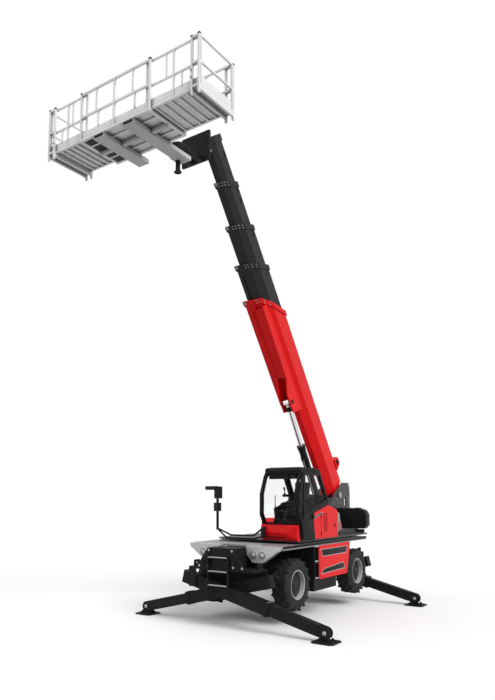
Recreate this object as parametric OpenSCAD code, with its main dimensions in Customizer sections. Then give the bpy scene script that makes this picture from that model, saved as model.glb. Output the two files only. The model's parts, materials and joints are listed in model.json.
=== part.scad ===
// Rotating telehandler on its outriggers, with a work platform on the boom.
// Millimetres, +Z up, +X the way the chassis faces, +Y the machine's left.
// Sizes are given from the slew axis on the ground; the origin is then moved to
// the middle of the footprint, so the whole stands on Z = 0.

/* [Wheels] */
// Front axle, ahead of the slew axis
axle_front_x = 1600; // [1500:10:1640]
// Rear axle, behind the slew axis
axle_rear_x = 1525; // [1450:10:1550]
// Height of the wheel centres while the legs carry the machine
wheel_z = 845; // [820:5:900]
// Tyre radius to the lugs' tips
tyre_r = 560; // [520:5:570]
// Tyre width
tyre_w = 400; // [340:10:410]
// Rim radius under the tyre
rim_r = 310; // [280:5:330]
// Distance of a tyre's middle plane from the centre line
wheel_y = 1000; // [980:5:1020]
// From the kingpin to the tyre's middle plane
king_offset = 240; // [220:5:260]
// Height of a lug
lug_h = 28; // [15:1:35]
// Number of lugs on each half of the tread
lug_n = 16; // [12:1:18]

/* [Chassis] */
// Half width over the side covers
body_half_w = 1230; // [1180:10:1260]
// Depth of a side cover across the machine
cover_d = 270; // [220:5:280]
// Underside of the side covers
cover_z = 870; // [850:5:900]
// Top of the deck
deck_z = 1690; // [1670:5:1700]
// Thickness of the deck plate
deck_t = 40; // [25:5:60]
// Half width of the main frame
frame_half_w = 400; // [340:10:420]
// Underside of the main frame
frame_z = 760; // [740:5:780]
// Height of the main frame
frame_h = 660; // [600:5:680]
// Wall of the main frame
frame_t = 60; // [30:5:80]
// Radius of the slew ring
ring_r = 620; // [560:10:640]
// Radius of the tie-down holes
tie_r = 32; // [25:1:40]

/* [Outriggers] */
// Front pair of legs, ahead of the slew axis
legs_front_x = 2577; // [2560:1:2650]
// Rear pair of legs, behind the slew axis
legs_rear_x = 2450; // [2450:5:2520]
// Half the distance between the two legs of a pair
leg_step = 115; // [112:1:130]
// Distance of a foot from the centre line
foot_y = 2375; // [2250:5:2450]
// Half width of a foot plate
foot_half = 235; // [180:5:260]
// Leg sleeve's depth, seen from the end of the machine
sleeve_h = 270; // [240:5:290]
// Leg sleeve's width along the machine
sleeve_w = 200; // [180:5:204]
// Wall of the sleeves
sleeve_t = 14; // [8:1:18]
// Travel of the inner leg
leg_travel = 1000; // [900:10:1050]

/* [Turret] */
// Top of the turret's floor plate
turret_top = 1765; // [1755:5:1790]
// Thickness of the turret's floor plate
turret_t = 35; // [25:5:40]
// Half width of the turret
turret_half_w = 1150; // [1120:10:1170]
// Boom plane, across the machine
boom_y = -65; // [-80:5:-60]
// Boom pivot, behind the slew axis
pivot_x = 2550; // [2530:5:2570]
// Boom pivot height
pivot_z = 2760; // [2740:5:2790]
// Boom axis above the pivot
boom_rise = 110; // [90:5:130]
// Radius of the pivot pin
pivot_r = 75; // [60:5:90]
// Tail radius of the counterweight
tail_r = 3400; // [3350:10:3450]
// Depth of the counterweight, from its tail to its front face
weight_d = 1150; // [1050:10:1200]
// Underside of the counterweight
weight_z = 1870; // [1850:5:1900]
// Height of the counterweight
weight_h = 530; // [480:10:560]

/* [Cab] */
// Right side of the cab
cab_y0 = 235; // [230:5:245]
// Left side of the cab
cab_y1 = 1182; // [1160:2:1190]
// Thickness of the cab's frame
cab_t = 45; // [35:5:55]
// Height of the cab over the turret's floor
cab_h = 1585; // [1560:5:1610]

/* [Boom] */
// Elevation of the boom
boom_angle = 54.4; // [50:0.1:58]
// Base section from the pivot to its mouth
base_len = 6065; // [6020:5:6100]
// Width of the base section
base_w = 440; // [430:5:444]
// Depth of the base section
base_h = 680; // [660:5:690]
// Wall of the boom sections
boom_t = 12; // [8:1:14]
// How far the second section stands out of the base
reach_2 = 910; // [910:5:960]
// How far the third section stands out of the second
reach_3 = 960; // [940:5:1000]
// How far the fourth section stands out of the third
reach_4 = 1016; // [960:2:1080]
// How far the fifth section stands out of the fourth
reach_5 = 828; // [820:2:860]
// Radius of the lift cylinder's barrel
lift_r = 95; // [85:1:100]
// Radius of the lift cylinder's rod
rod_r = 65; // [55:1:70]

/* [Platform] */
// Underside of the platform below the tilt pin
plat_drop = 672; // [640:1:700]
// From the tilt pin to the rotator's axis
carriage_reach = 960; // [940:5:1000]
// From the rotator's axis to the platform's rear
plat_gap = 524; // [500:2:560]
// Depth of the platform along the machine
plat_d = 1092; // [1040:2:1140]
// Middle of the centre module, to the machine's right of the boom
plat_shift = 305; // [260:5:340]
// Width of the centre module
plat_w = 1913; // [1913:1:1980]
// Left wing, out of the centre module
wing_left = 1164; // [1100:2:1240]
// Right wing, out of the centre module
wing_right = 984; // [920:2:1100]
// Top rail above the underside
rail_h = 1135; // [1100:5:1170]

/* [Hidden] */

// Running clearance of sliding faces, of pins in their bores, and of pieces that seat on others
run = 0.5;
pin_gap = 0.3;
seat_gap = 0.3;

king_y = wheel_y - king_offset;
axle_h = 85;
ring_z = turret_top - turret_t - 25;
cover_in = body_half_w - cover_d;
cover_top = deck_z - 80;
deck_front = legs_front_x - 327;
deck_rear = legs_rear_x - 370;

// Boom sections: width and depth of each, then the mouths' distances from the pivot
sec_w = [base_w, base_w - 56, base_w - 108, base_w - 156, base_w - 200];
sec_h = [base_h, base_h - 64, base_h - 124, base_h - 184, base_h - 244];
mouth = [base_len, base_len + reach_2, base_len + reach_2 + reach_3, base_len + reach_2 + reach_3 + reach_4,
    base_len + reach_2 + reach_3 + reach_4 + reach_5];
sec_len = [base_len, 5100, 4950, 4950, 4800];
tail = mouth - sec_len;
// How far each mouth's top is set back from its bottom
slant = [620, 280, 200, 150, 0];
// Hose tray in each section's lower right corner: its reach, its top and where it starts
tray_y = [410, 320, 222, 146, 124];
tray_top = [-60, -86, -112, -138, -164];
tray_x = [3080, 4000, 4900, 5800, 6700];

// Tilt pin under the boom's head, then the platform that hangs from it
head_s = mouth[4] - 90;
head_p = -400;
tilt_x = -pivot_x + head_s * cos(boom_angle) - (head_p + boom_rise) * sin(boom_angle);
tilt_z = pivot_z + head_s * sin(boom_angle) + (head_p + boom_rise) * cos(boom_angle);
plat_z = tilt_z - plat_drop;
rot_x = tilt_x + carriage_reach;
arm_z = plat_z + 205;
arm_h = 130;
plat_back = rot_x + plat_gap;
plat_x = plat_back + plat_d;
plat_mid_y = boom_y - plat_shift;
plat_y0 = plat_mid_y - plat_w / 2;
plat_y1 = plat_mid_y + plat_w / 2;

mid_x = (plat_x - tail_r) / 2;

// Lift cylinder: foot on the turret, eye under the boom
lift_foot = [-pivot_x + 400, pivot_z - 640];
lift_s = 3300;
lift_drop = 270;
lift_p = boom_rise - base_h / 2 - lift_drop;
lift_eye = [-pivot_x + lift_s * cos(boom_angle) - lift_p * sin(boom_angle),
    pivot_z + lift_s * sin(boom_angle) + lift_p * cos(boom_angle)];
lift_len = norm(lift_eye - lift_foot);
lift_ang = atan2(lift_eye[1] - lift_foot[1], lift_eye[0] - lift_foot[0]);
barrel_len = 2270;
rod_len = 2500;

// Outrigger: hinge high on one side, foot far out on the other
leg_top = [760, 930];
ankle_z = 175;
leg_len = norm([foot_y + leg_top[0], leg_top[1] - ankle_z]);
leg_ang = atan2(leg_top[1] - ankle_z, foot_y + leg_top[0]);
leg_hole = 130;
leg_tail = leg_hole + leg_travel + 30;
sleeve_end = leg_tail + 800;
bracket_in = sleeve_w / 2 + leg_step + 10;
bracket_t = 35;
leg_x = [legs_front_x + leg_step, legs_front_x - leg_step, -legs_rear_x + leg_step, -legs_rear_x - leg_step];

red = [0.72, 0.09, 0.08];
dark = [0.13, 0.13, 0.14];
mid = [0.36, 0.37, 0.38];
pale = [0.72, 0.73, 0.74];
white = [0.88, 0.88, 0.87];
clear = [0.55, 0.62, 0.66, 0.35];

module box(a, b) {
    translate(a) cube(b - a);
}

module along_y(p, r, y0, y1) {
    translate([p[0], y0, p[1]]) rotate([-90, 0, 0]) cylinder(r = r, h = y1 - y0, $fn = 40);
}

module along_x(p, r, x0, x1) {
    translate([x0, p[0], p[1]]) rotate([0, 90, 0]) cylinder(r = r, h = x1 - x0, $fn = 40);
}

// A profile in X and Z, drawn out from y0 to y1
module slab(pts, y0, y1) {
    translate([0, y1, 0]) rotate([90, 0, 0]) linear_extrude(y1 - y0) polygon(pts);
}

// A round bar between two points
module bar(a, b, r) {
    d = b - a;
    translate(a) rotate([0, acos(d[2] / norm(d)), atan2(d[1], d[0])]) cylinder(r = r, h = norm(d), $fn = 24);
}

// A bent tube through a list of points
module bent(pts, r) {
    for (i = [0 : len(pts) - 2])
        bar(pts[i], pts[i + 1], r);
    for (i = [1 : len(pts) - 2])
        translate(pts[i]) sphere(r = r + 2, $fn = 24);
}

module placed() {
    translate([-mid_x, 0, 0]) children();
}

// The boom's own frame: x runs along its axis from the pivot, z across it
module on_boom() {
    translate([-pivot_x, boom_y, pivot_z]) rotate([0, -boom_angle, 0]) translate([0, 0, boom_rise]) children();
}

module on_lift() {
    translate([lift_foot[0], boom_y, lift_foot[1]]) rotate([0, -lift_ang, 0]) children();
}

// End bracket that hinges two crossing legs; dir points outwards, side is the inner leg's hinge side
module leg_bracket(x, dir, side) {
    z0 = leg_top[1] - 130;
    z1 = leg_top[1] + 300;
    end = leg_top[0] + 90;
    far = bracket_in + bracket_t;
    near = leg_step - sleeve_w / 2;
    translate([x, 0, 0]) scale([dir, side, 1]) {
        box([-far, -end, z0], [-bracket_in, end, z1]);
        box([-far, -end, z1 - 50], [far, end, z1]);
        box([bracket_in, -end, z0], [far, -end + 180, z1]);
        // Tie-down lugs on the bridge
        for (y = [-end, end - bracket_t])
            difference() {
                box([-90, y, z1 - 5], [90, y + bracket_t, z1 + 60 + tie_r + 28]);
                along_y([0, z1 + 60], tie_r, y - 1, y + bracket_t + 1);
            }
        along_x(leg_top, 45, -far + 5, -near + run);
        along_x([-leg_top[0], leg_top[1]], 45, near - run, far - 5);
    }
}

module chassis_frame() color(dark) {
    frame_top = frame_z + frame_h;
    arms_z = frame_z + 240;
    placed() union() {
        difference() {
            box([-axle_rear_x - 480, -frame_half_w, frame_z], [axle_front_x + 460, frame_half_w, frame_top]);
            box([-axle_rear_x - 380, -frame_half_w + frame_t, frame_z + frame_t],
                [axle_front_x + 360, frame_half_w - frame_t, frame_top - frame_t]);
            // The axles sit in these slots, against the frame's underside
            for (x = [axle_front_x, -axle_rear_x])
                box([x - 230, -frame_half_w - 1, frame_z - 60], [x + 230, frame_half_w + 1, wheel_z + axle_h]);
        }
        for (x = [axle_front_x, -axle_rear_x])
            box([x - 240, -frame_half_w + 10, wheel_z + axle_h], [x + 240, frame_half_w - 10, wheel_z + axle_h + frame_t]);
        // Cross plate, ring pedestal and slew ring
        box([-axle_rear_x + 625, -cover_in + 5, frame_top + 20], [axle_front_x - 600, cover_in - 5, frame_top + 140]);
        box([-700, -frame_half_w, frame_top - 20], [700, frame_half_w, deck_z - deck_t - 50]);
        translate([0, 0, frame_top - 20]) cylinder(r = ring_r, h = ring_z - frame_top + 20, $fn = 48);
        // Outrigger brackets and the boxes that tie them to the frame
        box([axle_front_x + 440, -frame_half_w, leg_top[1] - 130], [legs_front_x - bracket_in - 5, frame_half_w, leg_top[1] + 300]);
        box([-legs_rear_x + bracket_in + 5, -frame_half_w, leg_top[1] - 130], [-axle_rear_x - 460, frame_half_w, leg_top[1] + 300]);
        leg_bracket(legs_front_x, 1, 1);
        leg_bracket(-legs_rear_x, -1, -1);
        // Posts under the deck's ends
        for (x = [axle_front_x + 300, -axle_rear_x - 400])
            box([x, -frame_half_w, frame_top - 20], [x + 100, frame_half_w, deck_z - deck_t]);
        // Side arms that carry the covers
        for (x = [-500, 400], s = [-1, 1])
            translate([x, 0, 0]) scale([1, s, 1]) box([0, frame_half_w - 10, arms_z], [100, cover_in, arms_z + 120]);
    }
}

module deck() color(mid) {
    edge = body_half_w - 30;
    placed() difference() {
        union() {
            box([-deck_rear, -edge, deck_z - deck_t], [deck_front, edge, deck_z]);
            for (s = [-1, 1])
                scale([1, s, 1]) box([-deck_rear, edge - 30, cover_top + seat_gap], [deck_front, edge, deck_z - 20]);
        }
        translate([0, 0, deck_z - deck_t - 20]) cylinder(r = ring_r + 5, h = deck_t + 40, $fn = 48);
    }
}

// Cover between the wheels; its rear edge leans back over the tyre
module side_cover(s) {
    x0 = -axle_rear_x + 515;
    x1 = axle_front_x - 910;
    placed() scale([1, s, 1]) difference() {
        slab([[x0 + 210, cover_z], [x1, cover_z], [x1, cover_top], [x0, cover_top]], cover_in, body_half_w);
        // Two blank recesses, one over the other
        slab([[x0 + 250, cover_top - 250], [x1 - 200, cover_top - 250], [x1 - 90, cover_top - 80], [x0 + 150, cover_top - 80]],
            body_half_w - 12, body_half_w + 1);
        slab([[x0 + 330, cover_top - 610], [x1 - 90, cover_top - 640], [x1 - 250, cover_top - 520], [x0 + 400, cover_top - 450]],
            body_half_w - 12, body_half_w + 1);
    }
}

module side_cover_left() color(red) side_cover(1);

module side_tank_right() color(dark) side_cover(-1);

module steps_left() color(dark) {
    x0 = axle_front_x - 910;
    x1 = axle_front_x - 710;
    y1 = body_half_w - 10;
    rise = (cover_top - cover_z) / 2;
    placed() difference() {
        union() {
            box([x0, cover_in, cover_z], [x1, y1, cover_top]);
            // Battery box under the cover
            box([x0 - 940, cover_in, cover_z - 250], [x1, y1 - 30, cover_z]);
        }
        for (i = [0, 1])
            box([x0 + 25, cover_in + 50, cover_z + 40 + i * rise], [x1 - 25, y1 + 1, cover_z + rise - 20 + i * rise]);
    }
}

module lamp(s) {
    placed() scale([1, s, 1]) union() {
        translate([deck_front, 0, 0]) rotate([90, 0, 90]) linear_extrude(140)
            polygon([[350, deck_z], [1190, deck_z], [1150, deck_z - 90], [760, deck_z - 350], [520, deck_z - 350], [380, deck_z - 190]]);
        for (y = [560, 780])
            along_x([y, deck_z - 180], 80, deck_front + 135, deck_front + 160);
    }
}

module lamp_left() color(pale) lamp(1);

module lamp_right() color(pale) lamp(-1);

module ladder() color(dark) {
    lx = legs_front_x + bracket_in + bracket_t + 10;
    top = leg_top[1] + 300;
    y0 = -315;
    y1 = 230;
    placed() union() {
        for (y = [y0, y1 - 30])
            box([lx, y, top - 600], [lx + 45, y + 30, top + 250]);
        for (i = [0 : 2])
            box([lx, y0, top - 390 + i * 290], [lx + 45, y1, top - 360 + i * 290]);
        // Hooks onto the bracket's bridge
        for (y = [y0, y1 - 30])
            box([lx - 60, y, top], [lx + 45, y + 30, top + 40]);
    }
}

// Axle with a yoke and a kingpin bore at each end
module axle(x) {
    yoke = king_y - 140;
    placed() translate([x, 0, wheel_z]) difference() {
        union() {
            box([-90, -yoke, -axle_h], [90, yoke, axle_h]);
            translate([0, 0, -60]) cylinder(r = 200, h = 120, $fn = 40);
            for (s = [-1, 1]) scale([1, s, 1]) {
                box([-80, yoke - 40, -150], [80, yoke + 20, 150]);
                for (z = [-150, 112]) {
                    box([-80, yoke, z], [80, king_y, z + 38]);
                    translate([0, king_y, z]) cylinder(r = 80, h = 38, $fn = 32);
                }
            }
        }
        for (s = [-1, 1])
            translate([0, s * king_y, -160]) cylinder(r = 40 + pin_gap, h = 320, $fn = 32);
    }
}

module front_axle() color(dark) axle(axle_front_x);

module rear_axle() color(dark) axle(-axle_rear_x);

module wheel_place(x, s) {
    placed() translate([x, 0, wheel_z]) scale([1, s, 1]) children();
}

module knuckle() {
    translate([0, king_y, -112 + run]) cylinder(r = 78, h = 224 - 2 * run, $fn = 32);
    translate([0, king_y, -160]) cylinder(r = 40, h = 320, $fn = 32);
    along_y([0, 0], 70, king_y, wheel_y + 10);
}

module knuckle_fl() color(mid) wheel_place(axle_front_x, 1) knuckle();
module knuckle_fr() color(mid) wheel_place(axle_front_x, -1) knuckle();
module knuckle_rl() color(mid) wheel_place(-axle_rear_x, 1) knuckle();
module knuckle_rr() color(mid) wheel_place(-axle_rear_x, -1) knuckle();

// Profile points are [radius, distance from the tyre's middle plane]
module turned(pts) {
    translate([0, wheel_y, 0]) rotate([-90, 0, 0]) rotate_extrude($fn = 36) polygon(pts);
}

module rim() {
    half = tyre_w / 2 - 25;
    b = 70 + pin_gap;
    turned([[b, -60], [150, -60], [160, 10], [rim_r - 30, 40], [rim_r - 30, -half], [rim_r, -half],
        [rim_r, half], [rim_r - 20, half], [rim_r - 30, 80], [190, 70], [150, 110], [b - 50, 110], [b - 50, 30], [b, 30]]);
}

module rim_fl() color(pale) wheel_place(axle_front_x, 1) rim();
module rim_fr() color(pale) wheel_place(axle_front_x, -1) rim();
module rim_rl() color(pale) wheel_place(-axle_rear_x, 1) rim();
module rim_rr() color(pale) wheel_place(-axle_rear_x, -1) rim();

module tyre() {
    half = tyre_w / 2;
    bed = tyre_r - lug_h;
    turned([[rim_r, -half + 30], [rim_r + 30, -half + 5], [rim_r + 110, -half], [bed - 42, -half + 12], [bed, -half + 60],
        [bed, half - 60], [bed - 42, half - 12], [rim_r + 110, half], [rim_r + 30, half - 5], [rim_r, half - 30]]);
    for (i = [0 : lug_n - 1], s = [-1, 1])
        rotate([0, (i + (s > 0 ? 0.5 : 0)) * 360 / lug_n, 0])
            translate([0, wheel_y + s * half * 0.48, bed - 20])
                rotate([0, 0, s * 24])
                    translate([-26, -half * 0.46, 0]) cube([52, half * 0.92, lug_h + 17]);
}

module tyre_fl() color(dark) wheel_place(axle_front_x, 1) tyre();
module tyre_fr() color(dark) wheel_place(axle_front_x, -1) tyre();
module tyre_rl() color(dark) wheel_place(-axle_rear_x, 1) tyre();
module tyre_rr() color(dark) wheel_place(-axle_rear_x, -1) tyre();

// Outriggers: y runs down the leg from its hinge
module leg_place(x, s) {
    placed() translate([x, -s * leg_top[0], leg_top[1]]) scale([1, s, 1]) rotate([-leg_ang, 0, 0]) children();
}

module leg_sleeve() {
    hw = sleeve_w / 2;
    hh = sleeve_h / 2;
    difference() {
        box([-hw, -leg_hole - 170, -hh], [hw, sleeve_end, hh]);
        box([-hw + sleeve_t, leg_hole, -hh + sleeve_t], [hw - sleeve_t, sleeve_end + 1, hh - sleeve_t]);
        along_x([0, 0], 45 + pin_gap, -hw - 1, hw + 1);
    }
}

leg_gap = 8;

module leg() {
    hw = sleeve_w / 2 - sleeve_t - leg_gap;
    hh = sleeve_h / 2 - sleeve_t - leg_gap;
    pad = leg_gap - run;
    difference() {
        union() {
            box([-hw, leg_tail, -hh], [hw, leg_len - 150, hh]);
            // Wear pads at the tail
            box([-hw - pad, leg_tail, -hh - pad], [hw + pad, leg_tail + 120, hh + pad]);
            // Fork for the foot
            for (a = [-1, 1]) {
                translate([a * 52 - 17, leg_len - 200, -hh]) cube([34, 200, 2 * hh]);
                along_x([leg_len, 0], hh, a * 52 - 17, a * 52 + 17);
            }
        }
        along_x([leg_len, 0], 30 + pin_gap, -100, 100);
    }
}

foot_clip = 60;

module foot(x, s) {
    half = 34 - run;
    placed() translate([x, s * foot_y, 0]) union() {
        linear_extrude(22) polygon([for (q = [0 : 3], c = [-1, 1])
            let (a = [foot_half, c * (foot_half - foot_clip)]) [a[0] * cos(q * 90) - a[1] * sin(q * 90),
                a[0] * sin(q * 90) + a[1] * cos(q * 90)]]);
        // Upright gussets on the plate
        for (y = [-1, 1])
            box([-half, y * 130 - 10, 20], [half, y * 130 + 10, 90]);
        box([-half, -140, 20], [half, 140, 60]);
        translate([0, 0, 15]) cylinder(r = 100, h = 25, $fn = 40);
        translate([-half, -60, 30]) cube([2 * half, 120, ankle_z - 30]);
        along_x([0, ankle_z], 60, -half, half);
        along_x([0, ankle_z], 30, -75, 75);
    }
}

module leg_sleeve_fl() color(dark) leg_place(leg_x[0], 1) leg_sleeve();
module leg_sleeve_fr() color(dark) leg_place(leg_x[1], -1) leg_sleeve();
module leg_sleeve_rl() color(dark) leg_place(leg_x[2], 1) leg_sleeve();
module leg_sleeve_rr() color(dark) leg_place(leg_x[3], -1) leg_sleeve();
module leg_fl() color(mid) leg_place(leg_x[0], 1) leg();
module leg_fr() color(mid) leg_place(leg_x[1], -1) leg();
module leg_rl() color(mid) leg_place(leg_x[2], 1) leg();
module leg_rr() color(mid) leg_place(leg_x[3], -1) leg();
module foot_fl() color(mid) foot(leg_x[0], 1);
module foot_fr() color(mid) foot(leg_x[1], -1);
module foot_rl() color(mid) foot(leg_x[2], 1);
module foot_rr() color(mid) foot(leg_x[3], -1);

// Turret: ring, floor plate and the two cheeks that hold the boom
cheek = base_w / 2 + 40;
cheek_t = 40;
cheek_rear = tail_r - 150;

module turret_frame() color(mid) {
    low = turret_top - turret_t;
    plate = [[-pivot_x + 1450, low + 5], [-pivot_x + 1300, turret_top + 285], [-pivot_x + 650, pivot_z - 320],
        [-pivot_x + 200, pivot_z + 90], [-pivot_x - 150, pivot_z + 290], [-pivot_x - 230, pivot_z + 350],
        [-cheek_rear + 70, pivot_z + 350], [-cheek_rear, pivot_z + 280], [-cheek_rear, weight_z - 20], [-cheek_rear + 150, low + 5]];
    placed() union() {
        translate([0, 0, ring_z + run]) cylinder(r = ring_r + 20, h = low - ring_z + 10, $fn = 48);
        translate([0, 0, low]) linear_extrude(turret_t)
            polygon([[-pivot_x + 250, -turret_half_w], [1300, -turret_half_w], [1480, -turret_half_w + 200],
                [1480, turret_half_w], [-pivot_x + 250, turret_half_w]]);
        // Pedestal under the counterweight
        box([-cheek_rear + 150, boom_y - 600, low], [-pivot_x + 650, boom_y + 600, weight_z]);
        difference() {
            union() {
                for (s = [-1, 1])
                    slab(plate, boom_y + s * (cheek + cheek_t / 2) - cheek_t / 2, boom_y + s * (cheek + cheek_t / 2) + cheek_t / 2);
                // Bosses round the pivot
                for (s = [-1, 1])
                    scale([1, s, 1]) along_y([-pivot_x, pivot_z], pivot_r + 65, s * boom_y + cheek, s * boom_y + cheek + cheek_t + 15);
            }
            // Oval lightening hole behind the pivot
            for (dz = [0, 130])
                along_y([-pivot_x - 390, pivot_z - 260 + dz], 60, boom_y - cheek - 100, boom_y + cheek + 100);
            box([-pivot_x - 450, boom_y - cheek - 100, pivot_z - 260], [-pivot_x - 330, boom_y + cheek + 100, pivot_z - 130]);
        }
        along_y([-pivot_x, pivot_z], pivot_r, boom_y - cheek - cheek_t - 30, boom_y + cheek + cheek_t + 30);
        along_y(lift_foot, 50, boom_y - cheek - 20, boom_y + cheek + 20);
    }
}

module counterweight() color(dark) {
    front = -tail_r + weight_d;
    z1 = weight_z + weight_h;
    placed() difference() {
        intersection() {
            translate([-tail_r + turret_half_w, 0, 0]) rotate_extrude($fn = 64)
                polygon([[0, weight_z], [turret_half_w - 70, weight_z], [turret_half_w, weight_z + 90],
                    [turret_half_w, z1 - 160], [turret_half_w - 60, z1 - 50], [turret_half_w - 190, z1], [0, z1]]);
            box([-tail_r - 10, -turret_half_w, weight_z - 1], [front, turret_half_w, z1 + 1]);
        }
        // Slots for the cheeks, and a well between them for the boom's heel
        for (s = [-1, 1])
            box([-cheek_rear - seat_gap, boom_y + s * (cheek + cheek_t / 2) - cheek_t / 2 - seat_gap, weight_z - 1],
                [front + 1, boom_y + s * (cheek + cheek_t / 2) + cheek_t / 2 + seat_gap, z1 + 1]);
        box([-pivot_x - 250, boom_y - cheek - 1, weight_z - 1], [front + 1, boom_y + cheek + 1, z1 + 1]);
    }
}

// Cab outlines in X and Z: the body, then the doorway and its window inside it
cab_out = [[1430, turret_top], [1500, turret_top + 345], [1640, turret_top + 565], [1625, turret_top + 1035],
    [1450, turret_top + cab_h - 150], [1330, turret_top + cab_h], [470, turret_top + cab_h], [40, turret_top + 785],
    [860, turret_top + 585], [760, turret_top]];
door_shape = [[1385, turret_top + 50], [1440, turret_top + 345], [1575, turret_top + 575], [1562, turret_top + 1025],
    [1400, turret_top + cab_h - 165], [1300, turret_top + cab_h - 70], [520, turret_top + cab_h - 70],
    [130, turret_top + 850], [930, turret_top + 645], [830, turret_top + 50]];

// Moves a closed outline inwards by d
function unit(v) = v / norm(v);
function left(v) = [-v[1], v[0]];
function inset(p, d) = [for (i = [0 : len(p) - 1])
    let (n = len(p), a = left(unit(p[i] - p[(i + n - 1) % n])), b = left(unit(p[(i + 1) % n] - p[i])))
        p[i] + d * (a + b) / (1 + a * b)];

door_window = inset(door_shape, 55);
cab_in = inset(cab_out, cab_t);
screen_z = [turret_top + 380, turret_top + cab_h - 85];
rear_window_z = [turret_top + 1000, turret_top + cab_h - 95];

hinge_x = 1600;
hinge_y = cab_y1 + 22;
hinge_z = [turret_top + 620, turret_top + 900];

module cab_shell() color(dark) {
    roof = turret_top + cab_h;
    placed() difference() {
        slab(cab_out, cab_y0, cab_y1);
        // Hollow inside
        slab(cab_in, cab_y0 + cab_t, cab_y1 - cab_t);
        // Doorway on the left and a window on the right
        slab(door_shape, cab_y1 - cab_t - 1, cab_y1 + 1);
        slab(door_window, cab_y0 - 1, cab_y0 + cab_t + 1);
        // Windscreen and rear window
        box([1180, cab_y0 + 60, screen_z[0]], [1750, cab_y1 - 60, screen_z[1]]);
        box([0, cab_y0 + 90, rear_window_z[0]], [480, cab_y1 - 90, rear_window_z[1]]);
    }
    // Hinge lugs for the door, above and below each barrel, with their pins
    placed() for (z = hinge_z) {
        for (h = [-25 - pin_gap, 120 + pin_gap])
            box([hinge_x - 18, cab_y1 - 5, z + h], [hinge_x + 18, hinge_y + 18, z + h + 25]);
        translate([hinge_x, hinge_y, z - 10]) cylinder(r = 8, h = 140, $fn = 24);
    }
}

// A pane that follows the cab's outline between two heights, on the side where x is in [x0, x1]
module pane(x0, x1, z, side) {
    intersection() {
        difference() {
            slab(inset(cab_out, 6), cab_y0 + side, cab_y1 - side);
            slab(inset(cab_out, 16), cab_y0, cab_y1);
        }
        box([x0, cab_y0, z[0]], [x1, cab_y1, z[1]]);
    }
}

module cab_glass() color(clear) {
    placed() {
        pane(1150, 1750, screen_z, 60);
        pane(0, 480, rear_window_z, 90);
        slab(door_window, cab_y0 + 18, cab_y0 + 26);
    }
}

// Height of the cab's sloping floor behind the pedals
function floor_z(x) = cab_in[8][1] + (x - cab_in[8][0]) * (cab_in[7][1] - cab_in[8][1]) / (cab_in[7][0] - cab_in[8][0]);

module cab_seat() color(dark) {
    z = turret_top;
    mid_y = (cab_y0 + cab_y1) / 2;
    // The base follows the sloping floor
    placed() union() {
        slab([[470, floor_z(470) + seat_gap], [800, floor_z(800) + seat_gap], [930, z + 810], [910, z + 880], [490, z + 870], [460, z + 820]],
            mid_y - 220, mid_y + 220);
        slab([[490, z + 820], [610, z + 850], [545, z + 1330], [465, z + 1340], [430, z + 1300]], mid_y - 210, mid_y + 210);
    }
}

module cab_console() color(dark) {
    z = turret_top;
    mid_y = (cab_y0 + cab_y1) / 2;
    placed() union() {
        box([1290, mid_y - 260, z + cab_t], [1380, mid_y + 260, z + 470]);
        bar([1330, mid_y, z + 450], [1160, mid_y, z + 725], 35);
        // Steering wheel: rim and one spoke across the hub
        translate([1160, mid_y, z + 720]) rotate([0, -32, 0]) {
            difference() {
                cylinder(r = 190, h = 28, $fn = 40);
                translate([0, 0, -1]) cylinder(r = 158, h = 30, $fn = 40);
            }
            box([-35, -170, 2], [35, 170, 22]);
        }
    }
}

module nose() color(red) {
    z = turret_top;
    placed() slab([[1430 + seat_gap, z], [1540, z], [1580, z + 50], [1580, z + 300], [1555, z + 345], [1500 + seat_gap, z + 345]],
        cab_y0, cab_y1 - 20);
}

// A block of slots cut into a panel: n rows that rise from z0, the panel's face at y
module slots(x0, x1, y, z0, pitch, n) {
    for (i = [0 : n - 1])
        box([x0, y - vent_d, z0 + i * pitch], [x1, y + vent_d, z0 + i * pitch + vent_h]);
}

vent_d = 18;
vent_h = 24;

module rear_cover() color(red) {
    z = turret_top;
    y1 = cab_y1 - 22;
    placed() difference() {
        slab([[-480, z], [745, z], [845, z + 570], [30, z + 768], [-440, z + 650], [-480, z + 600]], cab_y0 + 400, y1);
        for (x = [90, 200])
            slots(x, x + 85, y1, z + 160, 48, 9);
        // Slanted trim recess under the top edge
        slab([[330, z + 560], [790, z + 450], [800, z + 500], [330, z + 615]], y1 - 12, y1 + 1);
    }
}

engine_y = boom_y - cheek - cheek_t - 30;

module engine_cover() color(red) {
    z = turret_top;
    x0 = -pivot_x + 660;
    x1 = -pivot_x + 1900;
    t = 40;
    placed() difference() {
        slab([[x0, z], [x1, z], [x1, z + 300], [x1 - 120, z + 385], [x0, z + 385]], -turret_half_w, engine_y);
        slab([[x0 + t, z - 1], [x1 - t, z - 1], [x1 - t, z + 280], [x1 - 135, z + 385 - t], [x0 + t, z + 385 - t]],
            -turret_half_w + t, engine_y - t);
        for (i = [0, 1])
            slots(x0 + 180 + i * 480, x0 + 560 + i * 480, -turret_half_w, z + 90, 48, 5);
    }
}

module engine_block() color(mid) {
    placed() box([-pivot_x + 760, -turret_half_w + 120, turret_top], [-pivot_x + 1750, engine_y - 100, turret_top + 250]);
}

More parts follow.
